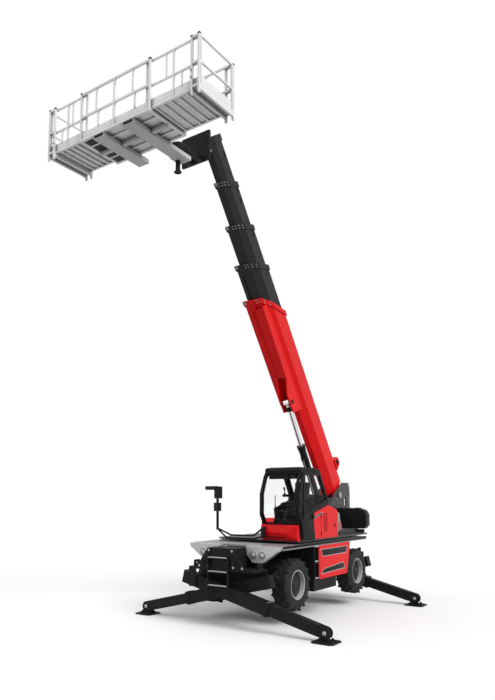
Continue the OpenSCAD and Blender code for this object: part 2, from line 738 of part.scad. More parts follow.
module mirror_arm() color(dark) {
    x = 1700;
    z = turret_top;
    post_y = -900;
    // Two bent tubes run under the lowered boom to a post beyond it
    placed() union() {
        box([1580, 320, z + 55], [x + 20, 380, z + 290]);
        bent([[x, 350, z + 265], [x, 110, z + 90], [x, -510, z + 85], [x, post_y, z + 230]], 20);
        bent([[x, 350, z + 80], [x, 110, z + 25], [x, -640, z + 20], [x, post_y, z + 220]], 20);
        translate([x, post_y, z + 195]) cylinder(r = 32, h = 1020, $fn = 24);
        // Two mirrors and a work lamp
        box([x - 50, post_y - 110, z + 925], [x - 10, post_y + 100, z + 1205]);
        box([x - 50, post_y - 120, z + 625], [x - 10, post_y + 70, z + 825]);
        box([x - 10, post_y - 330, z + 1125], [x + 50, post_y - 30, z + 1215]);
    }
}

door_y = cab_y1 + 5;
door_t = 35;

module cab_door() color(dark) {
    placed() difference() {
        union() {
            difference() {
                slab(door_shape, door_y, door_y + door_t);
                slab(door_window, door_y - 1, door_y + door_t + 1);
            }
            // Hinge barrels at the front edge and a handle at the rear
            for (z = hinge_z) {
                translate([hinge_x, hinge_y, z]) cylinder(r = 18, h = 120, $fn = 24);
                box([hinge_x - 60, door_y + 8, z + 10], [hinge_x, door_y + 26, z + 110]);
            }
            box([925, door_y + 20, turret_top + 460], [955, door_y + 60, turret_top + 590]);
        }
        for (z = hinge_z)
            translate([hinge_x, hinge_y, z - 5]) cylinder(r = 8 + pin_gap, h = 130, $fn = 24);
    }
}

module door_glass() color(clear) {
    placed() slab(door_window, door_y + 12, door_y + 20);
}

// Six-sided boom profile in Y and Z: upright sides, then two facets down to a narrow bottom
bottom_share = 0.35;
shoulder_share = 0.16;
function hexa(k, d) = let (w = sec_w[k], h = sec_h[k], b = w * bottom_share / 2, s = -h * shoulder_share)
    inset([[-b, -h / 2], [b, -h / 2], [w / 2, s], [w / 2, h / 2], [-w / 2, h / 2], [-w / 2, s]], d);

// Hose tray that widens the lower right corner, moved inwards by d
function tray(k, d) = let (z = -sec_h[k] / 2 + 5 + d)
    [[-tray_y[k] + d, z], [0, z], [0, tray_top[k] - d], [-tray_y[k] + d, tray_top[k] - d]];

// Where a section's slanted mouth lies at height z
function lip(k, z) = mouth[k] - slant[k] * (z / sec_h[k] + 0.5);

module prism(pts, x0, x1) {
    translate([x0, 0, 0]) rotate([90, 0, 90]) linear_extrude(x1 - x0) polygon(pts);
}

collar_l = 130;
lip_t = 8;
pad_l = 110;
pad_back = 20;
pad_z = [-40, 120];
pad_w = 70;
keel_w = 34;

// A section's outside: its six-sided tube and the slanted collar round its mouth
module outside(k, x0) {
    far = mouth[k] + slant[k];
    z = sec_h[k];
    intersection() {
        union() {
            prism(hexa(k, 0), x0, far);
            prism(tray(k, 0), tray_x[k], far);
        }
        slab([[x0 - 1, -z], [lip(k, -z), -z], [lip(k, z), z], [x0 - 1, z]], -z, z);
    }
    intersection() {
        union() {
            prism(hexa(k, -26 + 3 * k), mouth[k] - slant[k] - 400, far);
            prism(tray(k, -26 + 3 * k), mouth[k] - slant[k] - 400, far);
        }
        slab([[lip(k, -z) - collar_l, -z], [lip(k, -z) + lip_t, -z], [lip(k, z) + lip_t, z], [lip(k, z) - collar_l, z]], -z, z);
    }
    // Lug on top of the collar
    box([lip(k, z / 2) - 110, -40, z / 2 - 5], [lip(k, z / 2) - 20, 40, z / 2 + 56 - 3 * k]);
}

module inside(k, x0) {
    prism(hexa(k, boom_t), x0 - 1, mouth[k] + slant[k] + 1);
    prism(tray(k, boom_t), tray_x[k] - 1, mouth[k] + slant[k] + 1);
}

// Long slot along the underside, beside the tray
module slot(k, y0, y1) {
    low = -sec_h[k] / 2;
    box([tray_x[k] + 250, -y0, low - 1], [mouth[k] - 300, -y1, low + 2 * boom_t]);
}

// Wear pads in a mouth that run on the next section
module mouth_pads(k) {
    side = lip(k, pad_z[1]) - pad_back;
    top = lip(k, sec_h[k] / 2) - pad_back;
    for (s = [-1, 1])
        scale([1, s, 1]) box([side - pad_l, sec_w[k + 1] / 2 + run, pad_z[0]], [side, sec_w[k] / 2 - boom_t + 1, pad_z[1]]);
    box([top - pad_l, -pad_w, sec_h[k + 1] / 2 + run], [top, pad_w, sec_h[k] / 2 - boom_t + 1]);
    box([mouth[k] - pad_back - pad_l, -keel_w, -sec_h[k] / 2 + boom_t - 1], [mouth[k] - pad_back, keel_w, -sec_h[k + 1] / 2 - run]);
}

// Pads on a section's tail that run inside the one before it
module tail_pads(k) {
    x = tail[k];
    for (s = [-1, 1])
        scale([1, s, 1]) box([x, sec_w[k] / 2 - 1, pad_z[0]], [x + pad_l, sec_w[k - 1] / 2 - boom_t - run, pad_z[1]]);
    box([x, -pad_w, sec_h[k] / 2 - 1], [x + pad_l, pad_w, sec_h[k - 1] / 2 - boom_t - run]);
    box([x, -keel_w, -sec_h[k - 1] / 2 + boom_t + run], [x + pad_l, keel_w, -sec_h[k] / 2 + 1]);
}

heel = 150;
rail_y = 118;
rail_t = 30;

module boom_base() color(red) {
    low = -base_h / 2;
    placed() on_boom() difference() {
        union() {
            difference() {
                union() {
                    outside(0, heel);
                    // Guard rails under the boom, which also hold the lift cylinder's eye
                    for (s = [-1, 1])
                        scale([1, s, 1]) slab([[lift_s - 450, low + 140], [lift_s - 250, low - lift_drop - 110],
                            [lift_s + 250, low - lift_drop - 110], [lift_s + 600, low - 170], [base_len - 190, low - 130],
                            [base_len - 160, low + 140]], rail_y, rail_y + rail_t);
                }
                inside(0, heel);
                slot(0, 255, 195);
            }
            mouth_pads(0);
            prism(hexa(0, 5), heel + 10, heel + 30);
            // Heel plates and the pivot's bosses
            for (s = [-1, 1])
                scale([1, s, 1]) {
                    slab([[760, 330], [260, 330], [-60, 110], [-165, -40], [-165, -180], [-60, -270], [heel + 60, -100]],
                        base_w / 2 - 60, base_w / 2 - 3);
                    along_y([0, -boom_rise], pivot_r + 65, base_w / 2 - 80, cheek - run);
                }
            // Plate that closes the guard above the cylinder
            slab([[lift_s + 640, low - 150], [base_len - 220, low - 115], [base_len - 220, low - 101], [lift_s + 640, low - 136]],
                -rail_y - 6, rail_y + 6);
        }
        along_y([0, -boom_rise], pivot_r + pin_gap, -base_w, base_w);
        along_y([lift_s, low - lift_drop], 35, -base_w, base_w);
    }
}

module section(k) {
    placed() on_boom() union() {
        difference() {
            outside(k, tail[k]);
            inside(k, tail[k]);
            if (k == 1)
                slot(k, 214, 180);
        }
        tail_pads(k);
        children();
    }
}

module boom_section_2() color(mid) section(1) mouth_pads(1);
module boom_section_3() color(mid) section(2) mouth_pads(2);
module boom_section_4() color(mid) section(3) mouth_pads(3);

// Last section: a plain tube, a closed head and a central web down to the tilt pin
module boom_section_5() color(mid) {
    end = mouth[4] + 150;
    h = sec_h[4] / 2;
    placed() on_boom() difference() {
        union() {
            difference() {
                union() {
                    prism(hexa(4, 0), tail[4], mouth[4]);
                    prism(tray(4, 0), tray_x[4], mouth[4]);
                }
                inside(4, tail[4]);
            }
            tail_pads(4);
            prism(hexa(4, -20), mouth[4] - 10, end);
            slab([[head_s - 95, head_p + 20], [head_s + 95, head_p + 20], [end, -h], [mouth[4] + 60, -h]], -70, 70);
            along_y([head_s, head_p], 105, -70, 70);
        }
        along_y([head_s, head_p], 50 + pin_gap, -100, 100);
    }
}

module lift_barrel() color(dark) {
    placed() on_lift() difference() {
        union() {
            along_x([0, 0], lift_r, 120, barrel_len);
            along_x([0, 0], lift_r + 13, barrel_len - 80, barrel_len);
            along_y([0, 0], 115, -90, 90);
            box([0, -70, -80], [160, 70, 80]);
        }
        along_y([0, 0], 50 + pin_gap, -120, 120);
        along_x([0, 0], rod_r + 1, 330, barrel_len + 1);
    }
}

module lift_rod() color(pale) {
    placed() on_lift() union() {
        along_x([0, 0], rod_r, lift_len - rod_len, lift_len);
        along_y([lift_len, 0], 92, -70, 70);
        along_y([lift_len, 0], 50, -rail_y + run, rail_y - run);
    }
}

// Carriage: hangs from the tilt pin, level, with the platform's rotator at its front
rotor_r = 80;

module carriage() color(dark) {
    face = tilt_x + 310;
    placed() difference() {
        union() {
            box([face, boom_y - 380, arm_z], [face + 60, boom_y + 380, tilt_z + 210]);
            for (s = [-1, 1]) {
                slab([[tilt_x, tilt_z - 100], [face + 5, tilt_z - 160], [face + 5, tilt_z + 150], [tilt_x, tilt_z + 100]],
                    boom_y + s * 91 - 20, boom_y + s * 91 + 20);
                along_y([tilt_x, tilt_z], 100, boom_y + s * 91 - 20, boom_y + s * 91 + 20);
            }
            along_y([tilt_x, tilt_z], 50, boom_y - 125, boom_y + 125);
            for (y = [-190, 90])
                box([face + 55, boom_y + y, arm_z], [rot_x, boom_y + y + 100, arm_z + arm_h]);
            translate([rot_x, boom_y, arm_z]) cylinder(r = 190, h = arm_h, $fn = 40);
        }
        translate([rot_x, boom_y, arm_z - 10]) cylinder(r = rotor_r + pin_gap, h = arm_h + 20, $fn = 40);
    }
}

pocket_y = [-540, 260];
pocket_w = 280;
pocket_h = 90;
pocket_t = 10;
floor_z0 = plat_z + pocket_h + seat_gap;
floor_t = 45;

// Fork pockets: the left one runs back to the rotator, and a beam ties them at mid depth
module fork_pockets() color(white) {
    rear = [plat_back - 240, rot_x - 150];
    beam_x = plat_back + plat_d / 2 - 40;
    placed() union() {
        difference() {
            union() {
                for (i = [0, 1])
                    box([rear[i], plat_mid_y + pocket_y[i], plat_z], [plat_x, plat_mid_y + pocket_y[i] + pocket_w, plat_z + pocket_h]);
                box([beam_x, plat_y0 + 60, plat_z + 20], [beam_x + 80, plat_y1 - 60, plat_z + pocket_h]);
            }
            for (i = [0, 1])
                box([rear[i] - 1, plat_mid_y + pocket_y[i] + pocket_t, plat_z + pocket_t],
                    [plat_x + 1, plat_mid_y + pocket_y[i] + pocket_w - pocket_t, plat_z + pocket_h - pocket_t]);
        }
        // Rotator: pin through the carriage, a disc under it and a cap over it
        translate([rot_x, boom_y, plat_z - 250]) cylinder(r = 50, h = 265, $fn = 40);
        translate([rot_x, boom_y, plat_z]) cylinder(r = rotor_r, h = arm_z - plat_z + arm_h + 40, $fn = 40);
        translate([rot_x, boom_y, plat_z + pocket_h - 5]) cylinder(r = 180, h = arm_z - run - plat_z - pocket_h + 5, $fn = 40);
        translate([rot_x, boom_y, arm_z + arm_h + run]) cylinder(r = 125, h = 40, $fn = 40);
    }
}

// Posts, top rail, mid rail and toe-board in one plane, from y0 to y1 at x
module rail_run(x, y0, y1, n, t) {
    for (z = [rail_h - t, rail_h * 0.52])
        box([x, y0, plat_z + z], [x + t, y1, plat_z + z + t]);
    for (i = [0 : n])
        box([x, y0 + i * (y1 - y0 - t) / n, floor_z0 + 5], [x + t, y0 + i * (y1 - y0 - t) / n + t, plat_z + rail_h]);
    box([x, y0, floor_z0 + 5], [x + min(t, 12), y1, floor_z0 + 200]);
}

module platform_centre() color(white) {
    placed() union() {
        // Floor plate over a frame with ribs
        difference() {
            box([plat_back, plat_y0, floor_z0], [plat_x, plat_y1, floor_z0 + floor_t]);
            box([plat_back + 60, plat_y0 + 60, floor_z0 - 1], [plat_x - 60, plat_y1 - 60, floor_z0 + floor_t - 10]);
        }
        for (x = [1 : 3])
            box([plat_back + x * plat_d / 4 - 20, plat_y0 + 50, floor_z0], [plat_back + x * plat_d / 4 + 20, plat_y1 - 50, floor_z0 + floor_t - 5]);
        // Rails front and back
        rail_run(plat_x - 40, plat_y0, plat_y1, 2, 40);
        rail_run(plat_back, plat_y0, plat_y1, 2, 40);
    }
}

// Wings run inside the centre module's rails
wing_in = 50;
wing_tail = 150;
// The outer end of a wing is as deep as the centre module and never enters it
wing_end = 200;
// Ribs under a wing's floor
rib_n = 6;

module wing(s, out) {
    edge = s > 0 ? plat_y1 : -plat_y0;
    y0 = edge - wing_tail;
    y1 = edge + out;
    z = floor_z0 + floor_t + run;
    xa = plat_back + wing_in;
    xb = plat_x - wing_in;
    cell = (y1 - y0 - wing_end) / rib_n;
    placed() scale([1, s, 1]) union() {
        // Floor with ribs across its underside
        difference() {
            box([xa, y0, z], [xb, y1, z + 45]);
            for (i = [0 : rib_n - 1])
                box([xa + 45, y0 + 40 + i * cell, z - 1], [xb - 45, y0 + i * cell + cell, z + 30]);
        }
        for (x = [xa, xb - 30]) {
            for (h = [rail_h - 40, rail_h * 0.52])
                box([x, y0, plat_z + h], [x + 30, y1, plat_z + h + 35]);
            for (y = [y0, (y0 + y1) / 2, y1 - 35])
                box([x, y, z], [x + 30, y + 35, plat_z + rail_h - 5]);
            box([x + 8, y0, z], [x + 20, y1, z + 200]);
        }
        for (h = [rail_h - 40, rail_h * 0.52]) {
            box([plat_back, y1 - 35, plat_z + h], [plat_x, y1, plat_z + h + 40]);
            for (x = [plat_back, plat_x - 40])
                box([x, y1 - wing_end, plat_z + h], [x + 40, y1, plat_z + h + 40]);
        }
        // End frame: corner posts, steps from the rails, floor and skirt
        for (y = [y1 - wing_end, y1 - 40]) {
            for (x = [plat_back, plat_x - 40])
                box([x, y, plat_z], [x + 40, y + 40, plat_z + rail_h - 5]);
            box([plat_back, y, plat_z + 60], [plat_x, y + 40, z + 45]);
        }
        for (x = [plat_back, plat_x - 60])
            for (h = [rail_h - 40, rail_h * 0.52])
                box([x, y1 - wing_end, plat_z + h + 2], [x + 60, y1 - wing_end + 35, plat_z + h + 33]);
        box([plat_back, y1 - wing_end, z], [plat_x, y1, z + 40]);
        box([plat_back, y1 - 20, z], [plat_x, y1 - 8, z + 200]);
    }
}

module platform_wing_left() color(white) wing(1, wing_left);

module platform_wing_right() color(white) wing(-1, wing_right);

chassis_frame();
deck();
side_cover_left();
side_tank_right();
steps_left();
lamp_left();
lamp_right();
ladder();
front_axle();
rear_axle();
knuckle_fl();
knuckle_fr();
knuckle_rl();
knuckle_rr();
rim_fl();
rim_fr();
rim_rl();
rim_rr();
tyre_fl();
tyre_fr();
tyre_rl();
tyre_rr();
leg_sleeve_fl();
leg_sleeve_fr();
leg_sleeve_rl();
leg_sleeve_rr();
leg_fl();
leg_fr();
leg_rl();
leg_rr();
foot_fl();
foot_fr();
foot_rl();
foot_rr();
turret_frame();
counterweight();
cab_shell();
cab_glass();
cab_seat();
cab_console();
nose();
rear_cover();
engine_cover();
engine_block();
mirror_arm();
cab_door();
door_glass();
boom_base();
boom_section_2();
boom_section_3();
boom_section_4();
boom_section_5();
lift_barrel();
lift_rod();
carriage();
fork_pockets();
platform_centre();
platform_wing_left();
platform_wing_right();
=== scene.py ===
# %% [markdown]
# # A rotating telehandler with a work platform
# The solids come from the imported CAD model, which is a fixed frame: nothing in it is moved. This lesson gives each
# solid its finish, and adds what a drawing office leaves out, such as screws, seals, pipes, lamp glasses and
# cushions.

# %% Load the frame
import json
import math

import bmesh
import bpy
from mathutils import Matrix, Vector


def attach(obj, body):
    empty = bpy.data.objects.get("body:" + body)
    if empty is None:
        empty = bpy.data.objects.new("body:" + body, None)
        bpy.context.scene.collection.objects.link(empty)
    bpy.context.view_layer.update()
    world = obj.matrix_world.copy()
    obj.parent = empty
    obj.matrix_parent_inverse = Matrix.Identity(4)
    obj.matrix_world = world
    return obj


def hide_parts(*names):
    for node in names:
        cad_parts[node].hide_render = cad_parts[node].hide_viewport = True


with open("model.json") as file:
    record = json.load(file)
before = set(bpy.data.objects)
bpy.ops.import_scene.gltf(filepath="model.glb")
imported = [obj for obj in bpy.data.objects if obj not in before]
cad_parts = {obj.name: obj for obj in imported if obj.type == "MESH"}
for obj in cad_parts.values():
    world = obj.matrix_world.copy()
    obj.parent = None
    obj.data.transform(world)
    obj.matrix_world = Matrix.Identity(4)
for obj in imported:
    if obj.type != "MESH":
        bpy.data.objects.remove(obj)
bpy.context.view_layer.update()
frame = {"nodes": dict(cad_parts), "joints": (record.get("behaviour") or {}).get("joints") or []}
nodes = frame["nodes"]
joints = {j["name"]: j for j in frame["joints"]}
CORNERS = ("fl", "fr", "rl", "rr")
SIDES, LEFT_RIGHT = (-1, 1), ((1, "left"), (-1, "right"))
X, Y, Z = (1, 0, 0), (0, 1, 0), (0, 0, 1)


def joint_at(name):
    """The point a joint turns about, in the frame's metres."""
    return Vector(joints[name]["pos_m"])


def side_of(corner):
    """1 for a corner on the left, -1 for one on the right."""
    return 1 if corner[1] == "l" else -1


def placed(name, data):
    """A new object in the scene."""
    obj = bpy.data.objects.new(name, data)
    bpy.context.scene.collection.objects.link(obj)
    return obj


slew = joint_at("turret_slew")

# %% [markdown]
# The machine was photographed from its front left, from about head height and far away. The lens is given in
# millimetres on a 36 mm sensor, and a small shift does what cropping the picture off-centre did.

# %% Camera
VIEW_FROM = Vector((slew.x + 14.048, 8.083, 2.802))
YAW, PITCH = math.radians(35.736), math.radians(7.595)
LENS_PX, LONG_SIDE_PX, SENSOR_MM = 636.0, 700, 36
look = Vector((-math.cos(YAW) * math.cos(PITCH), -math.sin(YAW) * math.cos(PITCH), math.sin(PITCH)))
camera = placed("camera", bpy.data.cameras.new("camera"))
camera.location = VIEW_FROM
camera.rotation_euler = look.to_track_quat("-Z", "Y").to_euler()
camera.data.lens = LENS_PX / LONG_SIDE_PX * SENSOR_MM
camera.data.shift_x, camera.data.shift_y = 0.0379, 0.0840
camera.data.clip_end = 400
bpy.context.scene.camera = camera
print("camera", [round(v, 2) for v in VIEW_FROM], "lens", round(camera.data.lens, 1), "mm")

# %% [markdown]
# The studio, the finishes and the fittings are all made of nodes. One helper adds a node and sets its inputs, each
# to a plain value or by a wire from another node. The others are the few steps that every finish is put together
# from.

# %% Node helpers


def feed(tree, node, inputs):
    """Sets a node's inputs, which are named or counted from 0, to plain values or by wires."""
    for key, value in inputs.items():
        socket = node.inputs[key]
        if isinstance(value, bpy.types.NodeSocket):
            tree.links.new(value, socket)
        else:
            socket.default_value = (*value, 1) if socket.type == "RGBA" else value


def add(tree, kind, inputs, **settings):
    """A new node with its settings and its inputs."""
    node = tree.nodes.new(kind)
    for name, value in settings.items():
        setattr(node, name, value)
    feed(tree, node, inputs)
    return node


def new_material(name):
    """A material with its tree, its shader and a coordinate socket."""
    mat = bpy.data.materials.new(name)
    mat.use_nodes = True
    tree = mat.node_tree
    coords = tree.nodes.new("ShaderNodeTexCoord").outputs["Object"]
    return mat, tree, tree.nodes["Principled BSDF"], coords


def noise(tree, coords, scale, detail):
    """A noise texture's factor."""
    inputs = {"Vector": coords, "Scale": scale, "Detail": detail, "Roughness": 0.55}
    return add(tree, "ShaderNodeTexNoise", inputs).outputs["Fac"]


def remap(tree, value, low, high, to_low, to_high):
    """A value moved from one range to another, and held there."""
    inputs = {"Value": value, "From Min": low, "From Max": high, "To Min": to_low, "To Max": to_high}
    return add(tree, "ShaderNodeMapRange", inputs).outputs["Result"]


def maths(tree, kind, a, b):
    """One arithmetic step; b may be a number or a socket."""
    return add(tree, "ShaderNodeMath", {0: a, 1: b}, operation=kind).outputs[0]


def tint(tree, factor, first, second):
    """A colour between two; each may be a colour or a socket."""
    inputs = {"Factor": factor, "A": first, "B": second}
    return add(tree, "ShaderNodeMix", inputs, data_type="RGBA").outputs["Result"]


def height_of(tree, coords):
    """How high a point is."""
    return add(tree, "ShaderNodeSeparateXYZ", {0: coords}).outputs["Z"]


def bumps(tree, height, strength, depth, **base):
    """A normal roughened by a height; base may give the Normal under it."""
    inputs = {"Height": height, "Strength": strength, "Distance": depth, **base}
    return add(tree, "ShaderNodeBump", inputs).outputs["Normal"]


def edge_mask(tree, radius):
    """1 along sharp edges, 0 on flat faces, with the rounded normal beside it."""
    rounded = add(tree, "ShaderNodeBevel", {"Radius": radius}, samples=4).outputs["Normal"]
    true = tree.nodes.new("ShaderNodeNewGeometry").outputs["True Normal"]
    dot = add(tree, "ShaderNodeVectorMath", {0: rounded, 1: true}, operation="DOT_PRODUCT")
    return remap(tree, dot.outputs["Value"], 0.99, 0.8, 0, 1), rounded


print("node helpers ready")

# %% [markdown]
# A white studio: the world is white for the camera and for reflections, and a softer grey for the light it gives.
# One broad lamp from the left is the key, and a weaker one from the right opens the shadows. The floor is pale and
# keeps the shadow, but throws back less light than it shows, so that the undersides stay darker than the tops.

# %% World, lamps and floor
bpy.context.scene.view_settings.view_transform = "Standard"
world = bpy.data.worlds.new("studio")
bpy.context.scene.world = world
world.use_nodes = True
tree = world.node_tree
tree.nodes.clear()
rays = tree.nodes.new("ShaderNodeLightPath").outputs
seen = add(tree, "ShaderNodeBackground", {"Color": (1, 1, 1)})
soft = add(tree, "ShaderNodeBackground", {"Color": (0.98, 0.985, 1), "Strength": 0.62})
shown = maths(tree, "MAXIMUM", rays["Is Camera Ray"], rays["Is Glossy Ray"])
shown = maths(tree, "MAXIMUM", shown, rays["Is Transmission Ray"])
pick = add(tree, "ShaderNodeMixShader", {"Fac": shown, 1: soft.outputs[0], 2: seen.outputs[0]})
add(tree, "ShaderNodeOutputWorld", {"Surface": pick.outputs[0]})


def sun(name, towards, strength, spread):
    """A distant lamp that shines along a direction."""
    lamp = placed(name, bpy.data.lights.new(name, "SUN"))
    lamp.data.energy = strength
    lamp.data.angle = math.radians(spread)
    lamp.rotation_euler = Vector(towards).to_track_quat("-Z", "Y").to_euler()


sun("key", (-0.18, -1.0, -0.8), 2.3, 35)
sun("fill", (-0.6, 0.7, -0.35), 0.5, 60)

FLOOR = 150
floor_mesh = bpy.data.meshes.new("floor")
floor_corners = [(-FLOOR, -FLOOR, 0), (FLOOR, -FLOOR, 0), (FLOOR, FLOOR, 0), (-FLOOR, FLOOR, 0)]
floor_mesh.from_pydata(floor_corners, [], [(0, 1, 2, 3)])
floor = placed("floor", floor_mesh)
pale_floor, tree, shader, coords = new_material("pale_floor")
bounced = tree.nodes.new("ShaderNodeLightPath").outputs["Is Diffuse Ray"]
feed(tree, shader, {"Base Color": tint(tree, bounced, (0.94, 0.94, 0.94), (0.44, 0.44, 0.43)),
                    "Roughness": 0.9, "Specular IOR Level": 0.0})
floor_mesh.materials.append(pale_floor)
print("studio ready")

# %% [markdown]
# Every finish is procedural and reads Object coordinates, so it stays put from any side. A painted panel has a slow
# change of tone, dust that gathers low down, a fine orange peel in its gloss, and edges where the paint has rubbed
# thin. The Bevel node rounds the sharp CAD edges for the light alone, and where its normal leaves the true one
# there is an edge to wear. Pale paint also gets painted shade in its inner corners: Ambient Occlusion finds them,
# and their colour is darkened for the shade that falls there.

# %% Paint
DUST, CORNER_SHADE_COLOUR = (0.42, 0.38, 0.33), (0.07, 0.066, 0.06)


def painted(name, colour, roughness, coat=0.0, worn=(0.3, 0.3, 0.3), wear=0.2, dust=0.03, metallic=0.0, gloss=0.1,
            shade_in_corners=0.0):
    """Painted sheet metal; its last argument is how much painted shade darkens its inner corners."""
    mat, tree, shader, coords = new_material(name)
    slow, fine, grain = noise(tree, coords, 0.9, 3), noise(tree, coords, 14, 5), noise(tree, coords, 160, 2)
    body = tint(tree, remap(tree, slow, 0.35, 0.65, 0, 1), tuple(c * 0.88 for c in colour), colour)
    low = remap(tree, height_of(tree, coords), 0.1, 1.9, dust, dust * 0.25)
    settled = maths(tree, "MULTIPLY", low, remap(tree, fine, 0.35, 0.7, 0.1, 1))
    body = tint(tree, settled, body, DUST)
    # Painted shade: Ambient Occlusion darkens the colour in inner corners, where shade falls.
    if shade_in_corners:
        open_sky = add(tree, "ShaderNodeAmbientOcclusion", {"Distance": 0.14}, samples=6).outputs["AO"]
        painted_corner_shade = remap(tree, open_sky, 0.35, 0.95, shade_in_corners, 0)
        body = tint(tree, maths(tree, "MULTIPLY", painted_corner_shade, remap(tree, fine, 0.3, 0.7, 0.75, 1)), body, CORNER_SHADE_COLOUR)
    edge, rounded = edge_mask(tree, 0.008)
    rubbed = maths(tree, "MULTIPLY", edge, remap(tree, fine, 0.48, 0.62, 0, 1))
    feed(tree, shader, {
        "Base Color": tint(tree, maths(tree, "MULTIPLY", rubbed, wear), body, worn),
        "Roughness": remap(tree, fine, 0.3, 0.7, roughness * 0.8, min(1, roughness * 1.35)),
        "Specular IOR Level": gloss, "Coat Weight": coat, "Coat Roughness": 0.12, "Metallic": metallic,
        "Normal": bumps(tree, grain, 0.05, 0.002, Normal=rounded)})
    return mat


def grey(tone):
    """A colour without a hue."""
    return (tone, tone, tone)


RED = painted("red_paint", (0.74, 0.004, 0.006), 0.36, coat=0.04, worn=(0.45, 0.03, 0.03), gloss=0.12)
DARK = painted("dark_paint", (0.0085, 0.0085, 0.009), 0.5, worn=grey(0.05))
BOOM_GREY = painted("boom_grey", (0.0155, 0.0155, 0.016), 0.42, worn=grey(0.08), gloss=0.15)
PLATE_GREY = painted("plate_grey", (0.055, 0.055, 0.057), 0.42, worn=grey(0.2), gloss=0.2)
SILVER = painted("silver_paint", (0.58, 0.575, 0.57), 0.32, coat=0.15, worn=grey(0.4), metallic=0.15, gloss=0.3)
DECK_GREY = painted("deck_grey", (0.27, 0.268, 0.265), 0.4, worn=grey(0.4), dust=0.1, gloss=0.3)
RIM_GREY = painted("rim_grey", (0.42, 0.41, 0.40), 0.4, worn=grey(0.2), dust=0.1)
# The white paint gets painted shade in its inner corners.
WHITE = painted("white_powder", (0.86, 0.85, 0.84), 0.55, worn=grey(0.5), wear=0.3, gloss=0.2, shade_in_corners=0.9)
print("paints ready")

# %% [markdown]
# Rubber, glass, chrome, moulded plastic and seat vinyl each need their own shader. Rubber is dark and rough with
# dust in its pores and a painted highlight on its edges, the rod is hard chrome with fine scratches, and the glass
# is tinted thinly so that the seat shows through. The fork pockets are grey, and dark round the pin that the
# platform turns on.

# %% Other finishes


def rubber():
    mat, tree, shader, coords = new_material("tyre_rubber")
    fine, patch = noise(tree, coords, 40, 6), noise(tree, coords, 5, 4)
    dusty = remap(tree, maths(tree, "MULTIPLY", fine, patch), 0.2, 0.36, 0, 0.35)
    tread = tint(tree, dusty, (0.012, 0.012, 0.0125), (0.036, 0.034, 0.031))
    # Painted highlight: the tyre's edges are tinted paler for the light they catch.
    edge, rounded = edge_mask(tree, 0.014)
    feed(tree, shader, {
        "Base Color": tint(tree, maths(tree, "MULTIPLY", edge, 0.7), tread, (0.075, 0.072, 0.068)),
        "Roughness": remap(tree, fine, 0.3, 0.7, 0.62, 0.9), "Specular IOR Level": 0.25,
        "Normal": bumps(tree, fine, 0.2, 0.003, Normal=rounded)})
    return mat


def glass():
    mat, tree, shader, coords = new_material("tinted_glass")
    smear = noise(tree, coords, 6, 5)
    feed(tree, shader, {"Base Color": (0.95, 0.958, 0.957), "Transmission Weight": 1, "IOR": 1.08,
                        "Roughness": remap(tree, smear, 0.4, 0.7, 0.01, 0.09)})
    return mat


def chrome(name):
    mat, tree, shader, coords = new_material(name)
    streak = noise(tree, coords, 30, 3)
    feed(tree, shader, {"Base Color": tint(tree, streak, (0.62, 0.62, 0.63), grey(0.78)), "Metallic": 1,
                        "Roughness": remap(tree, streak, 0.3, 0.7, 0.12, 0.28)})
    return mat


def moulded(name, colour, roughness, grain_scale=220):
    """Moulded plastic or vinyl with a pebbled grain."""
    mat, tree, shader, coords = new_material(name)
    grain, slow = noise(tree, coords, grain_scale, 3), noise(tree, coords, 3, 3)
    feed(tree, shader, {
        "Base Color": tint(tree, remap(tree, slow, 0.3, 0.7, 0, 1), tuple(c * 0.8 for c in colour), colour),
        "Roughness": remap(tree, slow, 0.3, 0.7, roughness * 0.85, min(1, roughness * 1.2)),
        "Specular IOR Level": 0.15, "Normal": bumps(tree, grain, 0.25, 0.001)})
    return mat


def dark_about(mat, axis, reach, low, high, colour):
    """Darkens a material within reach of an upright axis, below and above a band."""
    tree = mat.node_tree
    shader = tree.nodes["Principled BSDF"]
    coords = tree.nodes.new("ShaderNodeTexCoord").outputs["Object"]
    flat = add(tree, "ShaderNodeVectorMath", {0: coords, 1: (1, 1, 0)}, operation="MULTIPLY")
    away = add(tree, "ShaderNodeVectorMath", {0: flat.outputs[0], 1: (axis.x, axis.y, 0)}, operation="DISTANCE")
    height = height_of(tree, coords)
    below, above = maths(tree, "LESS_THAN", height, low), maths(tree, "GREATER_THAN", height, high)
    near = maths(tree, "LESS_THAN", away.outputs["Value"], reach)
    near = maths(tree, "MULTIPLY", near, maths(tree, "MAXIMUM", below, above))
    paint = shader.inputs["Base Color"].links[0].from_socket
    feed(tree, shader, {"Base Color": tint(tree, near, paint, colour)})
    return mat


RUBBER = rubber()
GLASS = glass()
CHROME = chrome("chrome_rod")
PLASTIC = moulded("black_plastic", (0.012, 0.012, 0.013), 0.55)
VINYL = moulded("seat_vinyl", (0.020, 0.020, 0.022), 0.6, 340)
ZINC = painted("zinc_plate", (0.40, 0.40, 0.385), 0.4, worn=grey(0.3), metallic=0.7)
SHADOW = moulded("shadow_black", grey(0.006), 0.8)
# The pocket grey gets painted shade in its inner corners.
POCKET_PAINT = painted("pocket_grey", (0.56, 0.555, 0.55), 0.5, worn=grey(0.4), shade_in_corners=0.9)
POCKETS = dark_about(POCKET_PAINT, joint_at("platform_turn"), 0.2, 9.7953, 9.8893, grey(0.012))
print("other finishes ready")

# %% [markdown]
# Now every solid gets one of these finishes. The list is printed, so that a solid that was forgotten shows up.

# %% Finish every solid


def four(stem):
    """The names of a piece that each corner has."""
    return [stem + corner for corner in CORNERS]


